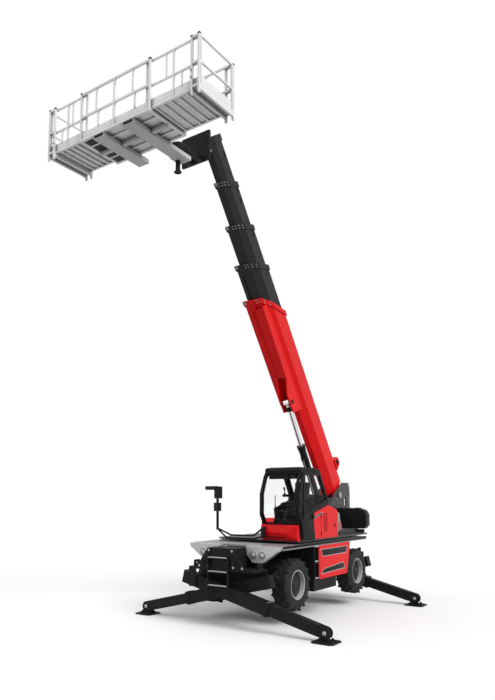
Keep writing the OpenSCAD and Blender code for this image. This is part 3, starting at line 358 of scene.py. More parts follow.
FINISH = {
    RED: ["side_cover_left", "nose", "rear_cover", "engine_cover", "boom_base"],
    DARK: ["chassis_frame", "side_tank_right", "steps_left", "ladder", "front_axle", "rear_axle", "counterweight",
           "cab_shell", "cab_door", "lift_barrel", "carriage", *four("leg_sleeve_"), *four("leg_"), *four("foot_"),
           *four("knuckle_")],
    BOOM_GREY: [f"boom_section_{k}" for k in range(2, 6)],
    PLATE_GREY: ["turret_frame", "engine_block"],
    DECK_GREY: ["deck"],
    SILVER: ["lamp_left", "lamp_right"],
    RIM_GREY: four("rim_"),
    POCKETS: ["fork_pockets"],
    WHITE: ["platform_centre", "platform_wing_left", "platform_wing_right"],
    RUBBER: four("tyre_"),
    GLASS: ["cab_glass", "door_glass"],
    CHROME: ["lift_rod"],
    PLASTIC: ["cab_console", "mirror_arm"],
    VINYL: ["cab_seat"],
}
for finish, names in FINISH.items():
    for name in names:
        nodes[name].data.materials.clear()
        nodes[name].data.materials.append(finish)
finished = {n for names in FINISH.values() for n in names}
print(len(finished), "solids finished; without one:", sorted(set(nodes) - finished))

# %% [markdown]
# Every added piece is drawn in the same millimetres as the solids. A placing matrix turns those millimetres into
# the frame's metres. MACHINE is measured from the slew axis on the ground and TURRET from the turret's floor. BOOM
# runs along the raised boom, LIFT along the lift cylinder, and PLATFORM starts at the platform's underside and rear
# edge.

# %% Drawing frames
MM = Matrix.Scale(0.001, 4)
BOOM_RISE, TURRET_TOP, PLAT_Z, PLAT_BACK = 0.110, 1765, 9797.3, 524
MACHINE = Matrix.Translation((slew.x, 0, 0)) @ MM


def drawn(name):
    """A joint's point in the machine's millimetres."""
    return MACHINE.inverted() @ joint_at(name)


def along(joint):
    """A turn that lays the first axis along a sliding joint, with the second one level."""
    way = Vector(joints[joint]["axis"]).normalized()
    return Matrix((way, Y, (-way.z, 0, way.x))).transposed().to_4x4()


pivot, turn_pin, tilt = drawn("boom_lift"), drawn("platform_turn"), drawn("carriage_level")
BOOM = (Matrix.Translation(joint_at("boom_lift")) @ along("telescope_2")
        @ Matrix.Translation((0, 0, BOOM_RISE)) @ MM)
LIFT = Matrix.Translation(joint_at("lift_barrel_swing")) @ along("lift_rod_slide") @ MM
TURRET = MACHINE @ Matrix.Translation((0, 0, TURRET_TOP))
PLATFORM = MACHINE @ Matrix.Translation((turn_pin.x + PLAT_BACK, 0, PLAT_Z))
CARRIAGE = MACHINE @ Matrix.Translation((tilt.x, 0, tilt.z))
boom_lean = math.asin(Vector(joints["telescope_2"]["axis"]).normalized().z)
print("boom leans", round(math.degrees(boom_lean), 1), "degrees")

# %% [markdown]
# A few small helpers draw almost everything: a block with rounded edges, a plate cut to an outline, a strip along
# an outline, and a turned form or ring. A piece is a list of such shapes, each written as the helper with its
# values. Rounded edges matter more than fine detail, because an edge without a highlight looks like paper.

# %% Mesh helpers
SHARP = math.radians(40)


def smoothed(bm, mesh):
    """Writes a bmesh into a mesh: normals outwards, smooth but for its sharp edges."""
    bmesh.ops.recalc_face_normals(bm, faces=bm.faces)
    for face in bm.faces:
        face.smooth = True
    bm.to_mesh(mesh)
    bm.free()
    mesh.set_sharp_from_angle(angle=SHARP)


def solid(name, bm, finish, body, place=MACHINE):
    """Makes a piece of a bmesh, in metres and on one body."""
    bmesh.ops.transform(bm, matrix=place, verts=bm.verts)
    mesh = bpy.data.meshes.new(name)
    smoothed(bm, mesh)
    mesh.materials.append(finish)
    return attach(placed(name, mesh), body)


def piece(name, finish, body, shapes, place=MACHINE):
    """Makes a piece of shapes, each a helper with its values."""
    bm = bmesh.new()
    for helper, *values in shapes:
        helper(bm, *values)
    return solid(name, bm, finish, body, place)


def round_edges(bm, verts, offset):
    """Rounds the edges at some points."""
    edges = {e for v in verts for e in v.link_edges}
    bmesh.ops.bevel(bm, geom=list(edges), offset=offset, segments=2, profile=0.7, affect="EDGES")


def block(bm, low, high, edge):
    """A box between two corners with its edges rounded."""
    low, high = Vector(low), Vector(high)
    place = Matrix.Translation((low + high) / 2) @ Matrix.Diagonal((*(high - low), 1))
    round_edges(bm, bmesh.ops.create_cube(bm, size=1, matrix=place)["verts"], edge)


def on_axis(axis, a, b, t):
    """A point of an outline at a depth along x or y."""
    return (t, a, b) if axis == "x" else (a, t, b)


def plate(bm, outline, axis, low, high, edge):
    """An outline drawn out along an axis, its rims rounded."""
    face = bm.faces.new([bm.verts.new(on_axis(axis, a, b, low)) for a, b in outline])
    first = list(face.verts)
    grown = bmesh.ops.extrude_face_region(bm, geom=[face])
    second = [v for v in grown["geom"] if isinstance(v, bmesh.types.BMVert)]
    bmesh.ops.translate(bm, verts=second, vec=on_axis(axis, 0, 0, high - low))
    if edge:
        round_edges(bm, first + second, edge)


def rectangle(a0, b0, a1, b1):
    """The outline between two corners."""
    return [(a0, b0), (a1, b0), (a1, b1), (a0, b1)]


def moved(outline, a, b):
    """An outline moved in its plane."""
    return [(x + a, y + b) for x, y in outline]


def inset(outline, depth):
    """A closed outline moved inwards."""
    out = []
    turn = sum(a[0] * b[1] - a[1] * b[0] for a, b in zip(outline, outline[1:] + outline[:1]))
    for i, here in enumerate(outline):
        back = (Vector(here) - Vector(outline[i - 1])).normalized()
        ahead = (Vector(outline[(i + 1) % len(outline)]) - Vector(here)).normalized()
        a, b = Vector((-back.y, back.x)), Vector((-ahead.y, ahead.x))
        out.append(tuple(Vector(here) + math.copysign(depth, turn) * (a + b) / (1 + a.dot(b))))
    return out


def border(bm, outline, width, axis, low, high):
    """A flat strip that follows an outline on its inner side."""
    inner = inset(outline, width)
    rings = [[bm.verts.new(on_axis(axis, a, b, depth)) for a, b in points]
             for points, depth in ((outline, low), (outline, high), (inner, high), (inner, low))]
    for a, b in zip(rings, rings[1:] + rings[:1]):
        for i in range(len(outline)):
            j = (i + 1) % len(outline)
            bm.faces.new((a[i], a[j], b[j], b[i]))


def turned(bm, profile, centre, axis, steps, loop=False):
    """A profile of radius and distance turned about an axis; a loop closes on itself, else it has poles."""
    place = Matrix.Translation(centre) @ Vector(axis).to_track_quat("Z", "Y").to_matrix().to_4x4()
    rings = []
    for radius, rise in profile:
        angles = [0] if radius == 0 else [2 * math.pi * i / steps for i in range(steps)]
        ring = [Vector((radius * math.cos(t), radius * math.sin(t), rise)) for t in angles]
        rings.append([bm.verts.new(place @ spot) for spot in ring])
    pairs = list(zip(rings, rings[1:])) + ([(rings[-1], rings[0])] if loop else [])
    for a, b in pairs:
        for i in range(steps):
            j = (i + 1) % steps
            corners = [a[i % len(a)], b[i % len(b)], b[j % len(b)], a[j % len(a)]]
            bm.faces.new(list(dict.fromkeys(corners)))


def hoop(bm, profile, centre, axis, steps):
    """A turned ring."""
    turned(bm, profile, centre, axis, steps, loop=True)


print("mesh helpers ready")

# %% [markdown]
# Screws sit in rings and rows, and pipes follow a path, so Geometry Nodes make them. Each tree has named inputs for
# its sizes. One puts a washer and a hexagon head on every point of a mesh, one puts a bar at each step of a line,
# one sets bars round a ring, and one sweeps a circle along a bent line. The result is turned into a plain mesh,
# because the export drops instances.

# %% Node trees


def node_tree(name, inputs):
    """A geometry tree with named inputs; returns it with its input and output sockets."""
    tree = bpy.data.node_groups.new(name, "GeometryNodeTree")
    tree.interface.new_socket("Geometry", in_out="OUTPUT", socket_type="NodeSocketGeometry")
    for label, kind in {**inputs, "Material": "Material"}.items():
        tree.interface.new_socket(label, in_out="INPUT", socket_type="NodeSocket" + kind)
    return tree, tree.nodes.new("NodeGroupInput").outputs


def finish_tree(tree, given, geometry):
    """Realize Instances and Set Material, then the tree's output."""
    realize = add(tree, "GeometryNodeRealizeInstances", {0: geometry})
    paint = add(tree, "GeometryNodeSetMaterial", {"Geometry": realize.outputs[0], "Material": given["Material"]})
    add(tree, "NodeGroupOutput", {0: paint.outputs[0]})
    return tree


def on_points(tree, given, points, shape, **more):
    """Sets a shape on every point and finishes the tree."""
    place = add(tree, "GeometryNodeInstanceOnPoints", {"Points": points, "Instance": shape, **more})
    return finish_tree(tree, given, place.outputs[0])


def screw_tree():
    """A washer and a hexagon head on every point, standing along one axis."""
    tree, given = node_tree("screws", {
        "Points": "Geometry", "Axis": "Vector", "Head Radius": "Float", "Head Height": "Float"})
    join = tree.nodes.new("GeometryNodeJoinGeometry")
    for corners, wide, tall in ((16, 1.5, 0.5), (6, 1.0, 2.0)):
        part = add(tree, "GeometryNodeMeshCylinder", {
            "Vertices": corners, "Radius": maths(tree, "MULTIPLY", given["Head Radius"], wide),
            "Depth": maths(tree, "MULTIPLY", given["Head Height"], tall)})
        feed(tree, join, {0: part.outputs["Mesh"]})
    turn = add(tree, "FunctionNodeAlignRotationToVector", {"Vector": given["Axis"]}, axis="Z")
    return on_points(tree, given, given["Points"], join.outputs[0], Rotation=turn.outputs[0])


def ring_tree():
    """Bars set round a circle, each with its X axis pointing outwards."""
    tree, given = node_tree("bar_ring", {"Count": "Int", "Ring Radius": "Float", "Size": "Vector", "Lean": "Float"})
    circle = add(tree, "GeometryNodeMeshCircle", {"Vertices": given["Count"], "Radius": given["Ring Radius"]})
    bar = add(tree, "GeometryNodeMeshCube", {"Size": given["Size"]})
    lean = add(tree, "ShaderNodeCombineXYZ", {"Y": given["Lean"]})
    tip = add(tree, "GeometryNodeTransform", {"Geometry": bar.outputs["Mesh"], "Rotation": lean.outputs[0]})
    spot = tree.nodes.new("GeometryNodeInputPosition").outputs[0]
    turn = add(tree, "FunctionNodeAlignRotationToVector", {"Vector": spot}, axis="X", pivot_axis="Z")
    return on_points(tree, given, circle.outputs[0], tip.outputs[0], Rotation=turn.outputs[0])


def row_tree():
    """Bars at equal steps along a line."""
    tree, given = node_tree("bar_row", {"Count": "Int", "Start": "Vector", "Step": "Vector", "Size": "Vector"})
    line = add(tree, "GeometryNodeMeshLine", {
        "Count": given["Count"], "Start Location": given["Start"], "Offset": given["Step"]}, mode="OFFSET")
    bar = add(tree, "GeometryNodeMeshCube", {"Size": given["Size"]})
    return on_points(tree, given, line.outputs[0], bar.outputs["Mesh"])


def pipe_tree():
    """A round pipe along a line, with its bends rounded."""
    tree, given = node_tree("bent_pipe", {"Path": "Geometry", "Radius": "Float", "Bend": "Float"})
    line = add(tree, "GeometryNodeMeshToCurve", {"Mesh": given["Path"]})
    bend = add(tree, "GeometryNodeFilletCurve", {
        "Curve": line.outputs[0], "Radius": given["Bend"], "Count": 6, "Limit Radius": True}, mode="POLY")
    circle = add(tree, "GeometryNodeCurvePrimitiveCircle", {"Resolution": 12, "Radius": given["Radius"]})
    sweep = add(tree, "GeometryNodeCurveToMesh", {
        "Curve": bend.outputs[0], "Profile Curve": circle.outputs[0], "Fill Caps": True})
    return finish_tree(tree, given, sweep.outputs[0])


SCREWS, BAR_RING, BAR_ROW, PIPE = screw_tree(), ring_tree(), row_tree(), pipe_tree()


def grown(name, tree, values, body, place=MACHINE, points=(), edges=()):
    """Runs a tree on a mesh of points, bakes the result in place, and lets it ride a body."""
    start = bpy.data.meshes.new(name)
    start.from_pydata([tuple(p) for p in points], list(edges), [])
    obj = placed(name, start)
    modifier = obj.modifiers.new("grow", "NODES")
    modifier.node_group = tree
    for item in tree.interface.items_tree:
        if item.in_out == "INPUT" and item.name in values:
            modifier[item.identifier] = values[item.name]
    mesh = bpy.data.meshes.new_from_object(obj.evaluated_get(bpy.context.evaluated_depsgraph_get()))
    obj.modifiers.clear()
    mesh.transform(place)
    bm = bmesh.new()
    bm.from_mesh(mesh)
    smoothed(bm, mesh)
    obj.data = mesh
    mesh.name = name
    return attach(obj, body)


def screws(name, points, axis, body, place=MACHINE, radius=11, height=8, finish=ZINC):
    """Hexagon screws on points."""
    sizes = {"Axis": axis, "Head Radius": float(radius), "Head Height": float(height), "Material": finish}
    return grown(name, SCREWS, sizes, body, place, points)


def pipe(name, points, radius, finish, body, place=MACHINE, bend=60):
    """A bent pipe through points."""
    sizes = {"Radius": float(radius), "Bend": float(bend), "Material": finish}
    return grown(name, PIPE, sizes, body, place, points, [(i, i + 1) for i in range(len(points) - 1)])


def row(name, count, start, step, size, finish, body, place=MACHINE):
    """Bars along a line."""
    sizes = {"Count": count, "Start": start, "Step": step, "Size": size, "Material": finish}
    return grown(name, BAR_ROW, sizes, body, place)


print("node trees:", [t.name for t in (SCREWS, BAR_RING, BAR_ROW, PIPE)])

# %% [markdown]
# A wheel shows a pale flange round a darker dish, a hub cap and a ring of nuts. The dish, the cap and the nuts are
# painted near black, which is painted shade for the deep middle of the wheel. The lugs are in the solids. The bars
# that run from them down the tyre's shoulder, and the thin rings moulded on its sidewall, are added here.

# %% Wheels
WHEEL_NUTS, NUT_RING, LUGS, LUG_LEAN = 10, 120, 16, -3.9
SIDEWALL_RINGS = ((338, 194), (352, 196), (398, 199), (432, 198))
# Painted shade: the dish, its hub cap and the wheel nuts are painted near black for the shade deep in the wheel.
SHADED_DISC = painted("disc_grey_painted_shade", (0.022, 0.021, 0.020), 0.5, worn=grey(0.1), dust=0.08)
for corner in CORNERS:
    side, body = side_of(corner), f"wheel_{corner}"
    hub, out = drawn(f"wheel_{corner}_spin"), Vector((0, side, 0))
    piece(f"wheel_dish_{corner}", SHADED_DISC, body, [
        (hoop, [(152, 114), (191, 75), (262, 82), (276, 86), (276, 82), (190, 71), (150, 111)], hub, out, 48),
        (turned, [(0, 110), (86, 110), (86, 122), (70, 134), (40, 138), (0, 138)], hub, out, 32),
        (hoop, [(20, 109), (148, 109), (151, 112), (148, 115), (20, 115)], hub, out, 40)])
    piece(f"wheel_flange_{corner}", RIM_GREY, body, [
        (hoop, [(292, 170), (312, 170), (316, 176), (312, 183), (298, 184), (291, 178)], hub, out, 48)])
    turn = [2 * math.pi * i / WHEEL_NUTS for i in range(WHEEL_NUTS)]
    nuts = [hub + Vector((NUT_RING * math.cos(t), side * 116, NUT_RING * math.sin(t))) for t in turn]
    screws(f"wheel_nuts_{corner}", nuts, out, body, radius=15, height=14, finish=SHADED_DISC)
    piece(f"tyre_rings_{corner}", RUBBER, body, [
        (hoop, moved([(-3, -4), (-2, 2), (2, 2), (3, -4)], radius, rise), hub, out, 64)
        for radius, rise in SIDEWALL_RINGS])
    for face, tag, half in ((1, "out", 180 / LUGS), (-1, "in", 0)):
        angle = math.radians(half + LUG_LEAN)
        x, z = Vector((math.sin(angle), 0, math.cos(angle))), out * face
        place = Matrix.Translation(hub + z * 178) @ Matrix((x, z.cross(x), z)).transposed().to_4x4()
        grown(f"tyre_shoulder_{corner}_{tag}", BAR_RING, {
            "Count": LUGS, "Ring Radius": 482.0, "Size": (84.0, 46.0, 20.0), "Lean": 0.5, "Material": RUBBER},
            body, MACHINE @ place)
print("wheels:", WHEEL_NUTS, "nuts and", 2 * LUGS, "shoulder bars each")

# %% [markdown]
# The outriggers are bare box tubes, so what makes them read as steel is their fittings: a doubled collar where the
# inner leg comes out, bright pin heads at the ankle, a weld-on pad and gussets on the feet.

# %% Outriggers
SLEEVE_END, HALF_W, HALF_H = 1960, 100, 135
OUT_W, OUT_H = HALF_W + 9, HALF_H + 10
COLLAR = ((-OUT_W, HALF_H - 1, OUT_W, OUT_H), (-OUT_W, -OUT_H, OUT_W, -HALF_H + 1),
          (-OUT_W, -HALF_H, -HALF_W + 1, HALF_H), (HALF_W - 1, -HALF_H, OUT_W, HALF_H))
for corner in CORNERS:
    hinge, ankle = drawn(f"leg_{corner}_swing"), drawn(f"foot_{corner}_tilt")
    slide = Vector(joints[f"leg_{corner}_slide"]["axis"])
    lie = Matrix((X, slide, Vector(X).cross(slide) * side_of(corner))).transposed().to_4x4()
    leg = MACHINE @ Matrix.Translation(hinge) @ lie
    body, foot = f"sleeve_{corner}", f"foot_{corner}"
    piece(f"sleeve_collar_{corner}", DARK, body, [
        *((block, (x0, SLEEVE_END - 95, z0), (x1, SLEEVE_END - 2, z1), 3) for x0, z0, x1, z1 in COLLAR),
        (block, (-HALF_W + 30, 500, HALF_H - 2), (HALF_W - 30, 900, HALF_H + 8), 4)], leg)
    collar_screws = [(x, SLEEVE_END - 48, HALF_H + 11) for x in (-70, 0, 70)]
    screws(f"sleeve_screws_{corner}", collar_screws, Z, body, leg, 12, 8)
    piece(f"ankle_pin_{corner}", ZINC, foot, [
        (turned, [(0, 74), (42, 74), (42, 81), (36, 85), (14, 85), (12, 88), (0, 88)], ankle, (way, 0, 0), 24)
        for way in SIDES])
    piece(f"foot_gusset_{corner}", DARK, foot, [
        (plate, [(ankle.y + y * 70, 21), (ankle.y + y * 190, 21), (ankle.y + y * 70, 92)], "x",
         ankle.x + x * 95 - 6, ankle.x + x * 95 + 6, 2) for x in SIDES for y in SIDES])
print("outriggers dressed")

# %% [markdown]
# Each boom section ends in a collar that is held by rows of bright screws, with a pale wear pad at its corner. The
# sections' outline is worked out from the same shares as the solids, so that a screw stands square on the facet
# that it holds.

# %% Boom collars
SECTION_W = (440, 384, 332, 284, 240)
SECTION_H = (680, 616, 556, 496)
MOUTH = (6065, 6975, 7935, 8951)
SLANT = (620, 280, 200, 150)
TRAY = (410, 320, 222, 146)
SCREW_ROWS = (34, 98)


def lip(k, z):
    """Where a section's slanted mouth lies at a height."""
    return MOUTH[k] - SLANT[k] * (z / SECTION_H[k] + 0.5)


def facet(k, share, proud):
    """A point on the lower left facet, and the facet's outward direction."""
    low = Vector((SECTION_W[k] * 0.175, -SECTION_H[k] / 2))
    shoulder = Vector((SECTION_W[k] / 2, -SECTION_H[k] * 0.16))
    run = (shoulder - low).normalized()
    away = Vector((run.y, -run.x))
    return low.lerp(shoulder, share) + away * proud, Vector((0, away.x, away.y))


PAD_WHITE = moulded("pad_nylon", (0.30, 0.295, 0.28), 0.5)
for k in range(4):
    tag, body, proud = k + 1, f"boom_{k + 1}", 26 - 3 * k
    on_facet = []
    for share in (0.25, 0.72):
        spot, away = facet(k, share, proud)
        on_facet += [(lip(k, spot.y) - back, spot.x, spot.y) for back in SCREW_ROWS]
    screws(f"collar_screws_facet_{tag}", on_facet, away, body, BOOM, 9, 4)
    under, left, edge = -SECTION_H[k] / 2 - proud, SECTION_W[k] / 2 + proud, -TRAY[k] - proud
    below = [(lip(k, under) - back, y, under) for back in SCREW_ROWS for y in (-38, 38)]
    screws(f"collar_screws_under_{tag}", below, (0, 0, -1), body, BOOM, 9, 4)
    beside = [(lip(k, z) - back, left, z) for back in SCREW_ROWS for z in (-40, 40, 120)]
    screws(f"collar_screws_left_{tag}", beside, Y, body, BOOM, 8, 4, BOOM_GREY if k else RED)
    piece(f"corner_pad_{tag}", PAD_WHITE, body, [
        (block, (MOUTH[k] - 80, edge - 8, under + low), (MOUTH[k] + 6, edge + wide, under + high), 8)
        for low, high, wide in ((-4, 24, 92), (10, 90, 16))], BOOM)
print("four collars with", len(on_facet) + len(below) + len(beside), "screws each")

# %% [markdown]
# The sides of the sections carry long oval holes for fitting the wear pads, and a bent seam where the collar's
# plate is welded on. Both are thin, and both stay clear of the pads that run on the sides. A folded bracket sits on
# the boom's heel.

# %% Boom sides


def oval(length, width, steps=10):
    """A flat oval with round ends, along its first axis."""
    half, angles = (length - width) / 2, [math.pi * (i / steps - 0.5) for i in range(steps + 1)]
    arc = [(half + width / 2 * math.cos(t), width / 2 * math.sin(t)) for t in angles]
    return arc + [(-x, -y) for x, y in arc]


HOLES = {3: ((7560, 178),), 4: ((8380, 158), (8620, 158)), 5: ((9480, 160),)}
SEAMS = {1: (RED, ((5440, 300), (5200, 190), (5110, 30), (5150, 10))),
         2: (SHADOW, ((6610, 265), (6500, 130), (6490, 112), (6590, 10)))}
for k, spots in HOLES.items():
    face = SECTION_W[k - 1] / 2
    shapes = []
    for spot in spots:
        shapes += [(plate, moved(oval(130, 44), *spot), "y", face - 2, face + 1, 0),
                   (border, moved(oval(150, 62), *spot), 8, "y", face - 2, face + 2.5)]
    piece(f"side_hole_{k}", SHADOW, f"boom_{k}", shapes, BOOM)
for k, (finish, seam) in SEAMS.items():
    face = SECTION_W[k - 1] / 2
    pipe(f"side_seam_{k}", [(s, face + 0.5, z) for s, z in seam], 4, finish, f"boom_{k}", BOOM, 30)
piece("heel_bracket", RED, "boom_1", [
    (plate, [(540, 334), (880, 334), (850, 560), (816, 590), (640, 590), (600, 564)], "y", -130, 250, 14),
    (plate, rectangle(500, 334, 920, 346), "y", -150, 215, 4)], BOOM)
piece("heel_bracket_openings", SHADOW, "boom_1", [
    (plate, [(630, 390), (820, 390), (800, 540), (660, 540)], "y", y - 7, y + 7, 3) for y in (-127, 247)], BOOM)
print("oval holes on", sorted(HOLES))

# %% [markdown]
# The lift cylinder is a black barrel with a chromed rod. Its gland nut, its feed pipes and the dark clamp at the
# rod's eye are added. The pipes run on the side away from the boom, because the guard rails pass close on the other
# sides.

# %% Lift cylinder
REST_LENGTH, BARREL_END, GLAND_RING = 3593, 2270, 96
LIFT_EYE = (3300, 0, -610)
piece("lift_gland", DARK, "lift_barrel", [
    (hoop, [(66.5, 0), (112, 0), (116, 8), (116, 30), (104, 46), (84, 52), (66.5, 52)], (BARREL_END, 0, 0), X, 40),
    *((hoop, [(94, 0), (103, 4), (103, 26), (94, 30)], (s, 0, 0), X, 40) for s in (BARREL_END - 420, 420)),
    *((block, (s - 45, -40, -135), (s + 45, 40, -88), 6) for s in (BARREL_END - 300, 330))], LIFT)
long_pipe = [(330, 18, -112), (420, 18, -128), (BARREL_END - 420, 18, -128), (BARREL_END - 300, 18, -112)]
short_pipe = [(330, -20, -112), (390, -20, -134), (800, -20, -134)]
pipe("lift_pipe_long", long_pipe, 11, ZINC, "lift_barrel", LIFT, 30)
pipe("lift_pipe_short", short_pipe, 11, ZINC, "lift_barrel", LIFT, 30)
turn = [math.pi * i / 4 for i in range(8)]
gland_screws = [(BARREL_END + 46, GLAND_RING * math.cos(t), GLAND_RING * math.sin(t)) for t in turn]
screws("lift_gland_screws", gland_screws, X, "lift_barrel", LIFT, 8, 6)
piece("lift_rod_clamp", DARK, "lift_rod", [
    (hoop, [(64, 0), (84, 6), (88, 14), (88, 104), (82, 116), (64, 122)], (REST_LENGTH - 250, 0, 0), X, 40)], LIFT)
piece("lift_eye_caps", DARK, "boom_1", [
    (turned, [(0, 149), (58, 149), (58, 158), (50, 163), (18, 163), (15, 158), (0, 158)],
     LIFT_EYE, (0, side, 0), 32) for side in SIDES], BOOM)
print("lift cylinder dressed")

# %% [markdown]
# The side cover and the rear cover have sunk panels. They carry plain dark trim with a fine pale edge. Behind the
# louvres there is a dark mesh, so that the slots don't look like red boxes.

# %% Cover trim
COVER_Y, REAR_Y, SUNK = 1230, 1160, 12.5
PANELS = ([(-760, 1360), (490, 1360), (600, 1530), (-860, 1530)],
          [(-680, 1000), (600, 970), (440, 1090), (-610, 1160)])
COVER_SCREWS = ((-950, 1570), (650, 1570), (-750, 910), (650, 910))
REAR_TRIM = [(330, 560), (790, 450), (800, 500), (330, 615)]
PALE_EDGE = painted("pale_edge", (0.55, 0.56, 0.56), 0.4, worn=grey(0.3), dust=0.2)
for side, tag in LEFT_RIGHT:
    back = side * (COVER_Y - SUNK)
    piece(f"cover_trim_{tag}", PLASTIC, "chassis", [
        (plate, inset(panel, 14), "y", back, side * (COVER_Y - 5), 2) for panel in PANELS])
    piece(f"cover_edge_{tag}", {"left": PALE_EDGE, "right": DARK}[tag], "chassis", [
        (border, inset(panel, 2), 11, "y", back, side * (COVER_Y - 3)) for panel in PANELS])
    points = [(x, side * COVER_Y, z) for x, z in COVER_SCREWS]
    screws(f"cover_screws_{tag}", points, (0, side, 0), "chassis", radius=9, height=3, finish=DARK)

piece("rear_cover_trim", PLASTIC, "turret", [
    (plate, inset(REAR_TRIM, 7), "y", REAR_Y - SUNK, REAR_Y - 3, 2),
    *((plate, rectangle(x + 1, 150, x + 84, 575), "y", REAR_Y - 20, REAR_Y - 14, 0) for x in (90, 200)),
    *((block, (395, REAR_Y - 2, z), (425, REAR_Y + 14, z + 80), 5) for z in (80, 470)),
    (block, (-330, REAR_Y - 2, 230), (-285, REAR_Y + 12, 320), 6)], TURRET)
piece("rear_cover_edge", PALE_EDGE, "turret", [
    (border, inset(REAR_TRIM, 1), 7, "y", REAR_Y - SUNK, REAR_Y + 2)], TURRET)
pipe("rear_cover_seam", [(415, REAR_Y + 0.5, 20), (415, REAR_Y + 0.5, 590)], 3, SHADOW, "turret", TURRET)
piece("engine_mesh", SHADOW, "turret", [
    (block, (x, -1131, 80), (x + 400, -1120, 320), 2) for x in (-1720, -1240)], TURRET)
print("covers trimmed")

# %% [markdown]
# The front of the chassis: lamp glasses in the silver housings, pale ladder treads and step edges. A lamp is a
# fluted glass with a domed front and a grey ring that holds it.

# %% Lamps and steps


def lens():
    """Clear glass with fine flutes."""
    mat, tree, shader, coords = new_material("lamp_glass")
    wave = add(tree, "ShaderNodeTexWave", {"Scale": 18, "Vector": coords}, bands_direction="Y").outputs["Fac"]
    feed(tree, shader, {"Base Color": tint(tree, wave, (0.42, 0.43, 0.44), (0.60, 0.61, 0.62)), "Roughness": 0.08,
                        "Coat Weight": 0.5, "Normal": bumps(tree, wave, 0.3, 0.003)})
    return mat


LENS = lens()
RED_LENS = painted("red_lens", (0.55, 0.01, 0.01), 0.15, coat=1.0, wear=0.0, dust=0.1)
LAMP_X, LAMP_Z = 2410, 1510
for side, tag in LEFT_RIGHT:
    spots = [(LAMP_X, side * y, LAMP_Z) for y in (560, 780)]
    piece(f"lamp_glass_{tag}", LENS, "chassis", [
        (turned, [(0, 0), (56, 0), (56, 6), (46, 14), (26, 19), (0, 21)], at, X, 32) for at in spots])
    piece(f"lamp_ring_{tag}", PLATE_GREY, "chassis", [
        (hoop, [(54, -2), (68, -2), (70, 4), (65, 12), (57, 13)], at, X, 40) for at in spots])

LADDER_X, LADDER_Y, RUNGS = 2847, (-315, 230), (840, 1130, 1420)
piece("ladder_treads", PALE_EDGE, "chassis", [
    (block, (LADDER_X - 6, LADDER_Y[0] + 34, z + 26), (LADDER_X + 62, LADDER_Y[1] - 34, z + 42), 4) for z in RUNGS])
for i, z in enumerate(RUNGS):
    row(f"ladder_ridges_{i + 1}", 14, (LADDER_X + 28, LADDER_Y[0] + 55, z + 42), (0, 33.5, 0), (56, 8, 5), PALE_EDGE,
        "chassis")
piece("step_edges", PALE_EDGE, "chassis", [
    *((block, (712, 1180, z), (868, 1226, z + 20), 5) for z in (898, 1268)),
    (block, (700, 1190, 1596), (880, 1228, 1616), 5)])
print("lamps, ladder and steps dressed")

# %% [markdown]
# The cab is the piece that people look at. It gets a thick roof visor, rubber seals round its panes, a post in the
# door's window, a handle, a wiper, and a driver's place with levers and a padded seat.

# %% Cab outside
ROOF, CAB_RIGHT, CAB_LEFT = 1585, 235, 1182
VISOR = [(1392, -66), (1400, -30), (1380, 20), (1330, 44), (640, 44), (500, 6), (520, -6), (1326, -6)]
DOOR = [(1385, 50), (1440, 345), (1575, 575), (1562, 1025), (1400, 1420), (1300, 1515), (520, 1515), (130, 850),
        (930, 645), (830, 50)]
DOOR_POST = [(1285, 110), (1350, 110), (1345, 1400), (1250, 1460)]
DOOR_PANEL = [(855, 90), (1405, 90), (1450, 345), (1330, 620), (960, 640)]
SEAL = moulded("seal_rubber", grey(0.012), 0.65)
piece("cab_visor", DARK, "turret", [
    (plate, moved(VISOR, 0, ROOF), "y", CAB_RIGHT + 6, CAB_LEFT + 2, 12),
    (block, (1170, CAB_RIGHT + 48, ROOF - 215), (1290, CAB_LEFT - 48, ROOF - 47), 14)], TURRET)
row("cab_visor_ribs", 8, (1000, CAB_RIGHT + 120, ROOF + 46), (0, 100, 0), (640, 26, 12), DARK, "turret", TURRET)
piece("door_seal", SEAL, "door", [
    (border, inset(DOOR, 47), 22, "y", CAB_LEFT + low, CAB_LEFT + high) for low, high in ((15, 43), (3, 12))], TURRET)
piece("door_panel", DARK, "door", [
    (plate, DOOR_POST, "y", CAB_LEFT + 14, CAB_LEFT + 38, 5),
    (plate, DOOR_PANEL, "y", CAB_LEFT + 12, CAB_LEFT + 42, 8)], TURRET)
piece("door_lock", PLASTIC, "door", [
    (turned, [(0, 40), (44, 40), (44, 46), (38, 50), (30, 44), (0, 44)], (1120, CAB_LEFT, 210), Y, 32),
    (block, (905, CAB_LEFT + 55, 455), (975, CAB_LEFT + 72, 600), 8)], TURRET)
grip = [(1150, 8, 520), (1150, -40, 520), (1110, -40, 1000), (1110, 8, 1000)]
pipe("door_handle", [(x, CAB_LEFT + y, z) for x, y, z in grip], 12, SEAL, "door", TURRET, 35)
piece("cab_seals", SEAL, "turret", [
    (border, inset(DOOR, 48), 20, "y", CAB_RIGHT - 6, CAB_RIGHT + 14),
    *((block, (x - 14, CAB_RIGHT + 52, z - 12), (x + 14, CAB_LEFT - 52, z + 12), 5)
      for x, z in ((1518, 380), (1400, 1500)))], TURRET)
pipe("wiper_arm", [(1545, 700, 395), (1665, 690, 600), (1656, 660, 860)], 8, SEAL, "turret", TURRET, 80)
pipe("wiper_blade", [(1654, 655, 620), (1656, 665, 1000)], 9, SEAL, "turret", TURRET, 10)
pillar = [(60, CAB_LEFT - 30, 830), (455, CAB_LEFT - 30, 1560)]
pipe("rear_pillar_pipe", pillar, 15, PALE_EDGE, "turret", TURRET)
print("cab dressed")

# %% [markdown]
# The driver's place: two armrests with levers, a screen, and the seat. A seat cushion is a crowned, closed form. A
# box is rounded by a remesh, then Cloth blows it up a little, with a cap on how far a point may move, and the seams
# are pressed in after that.

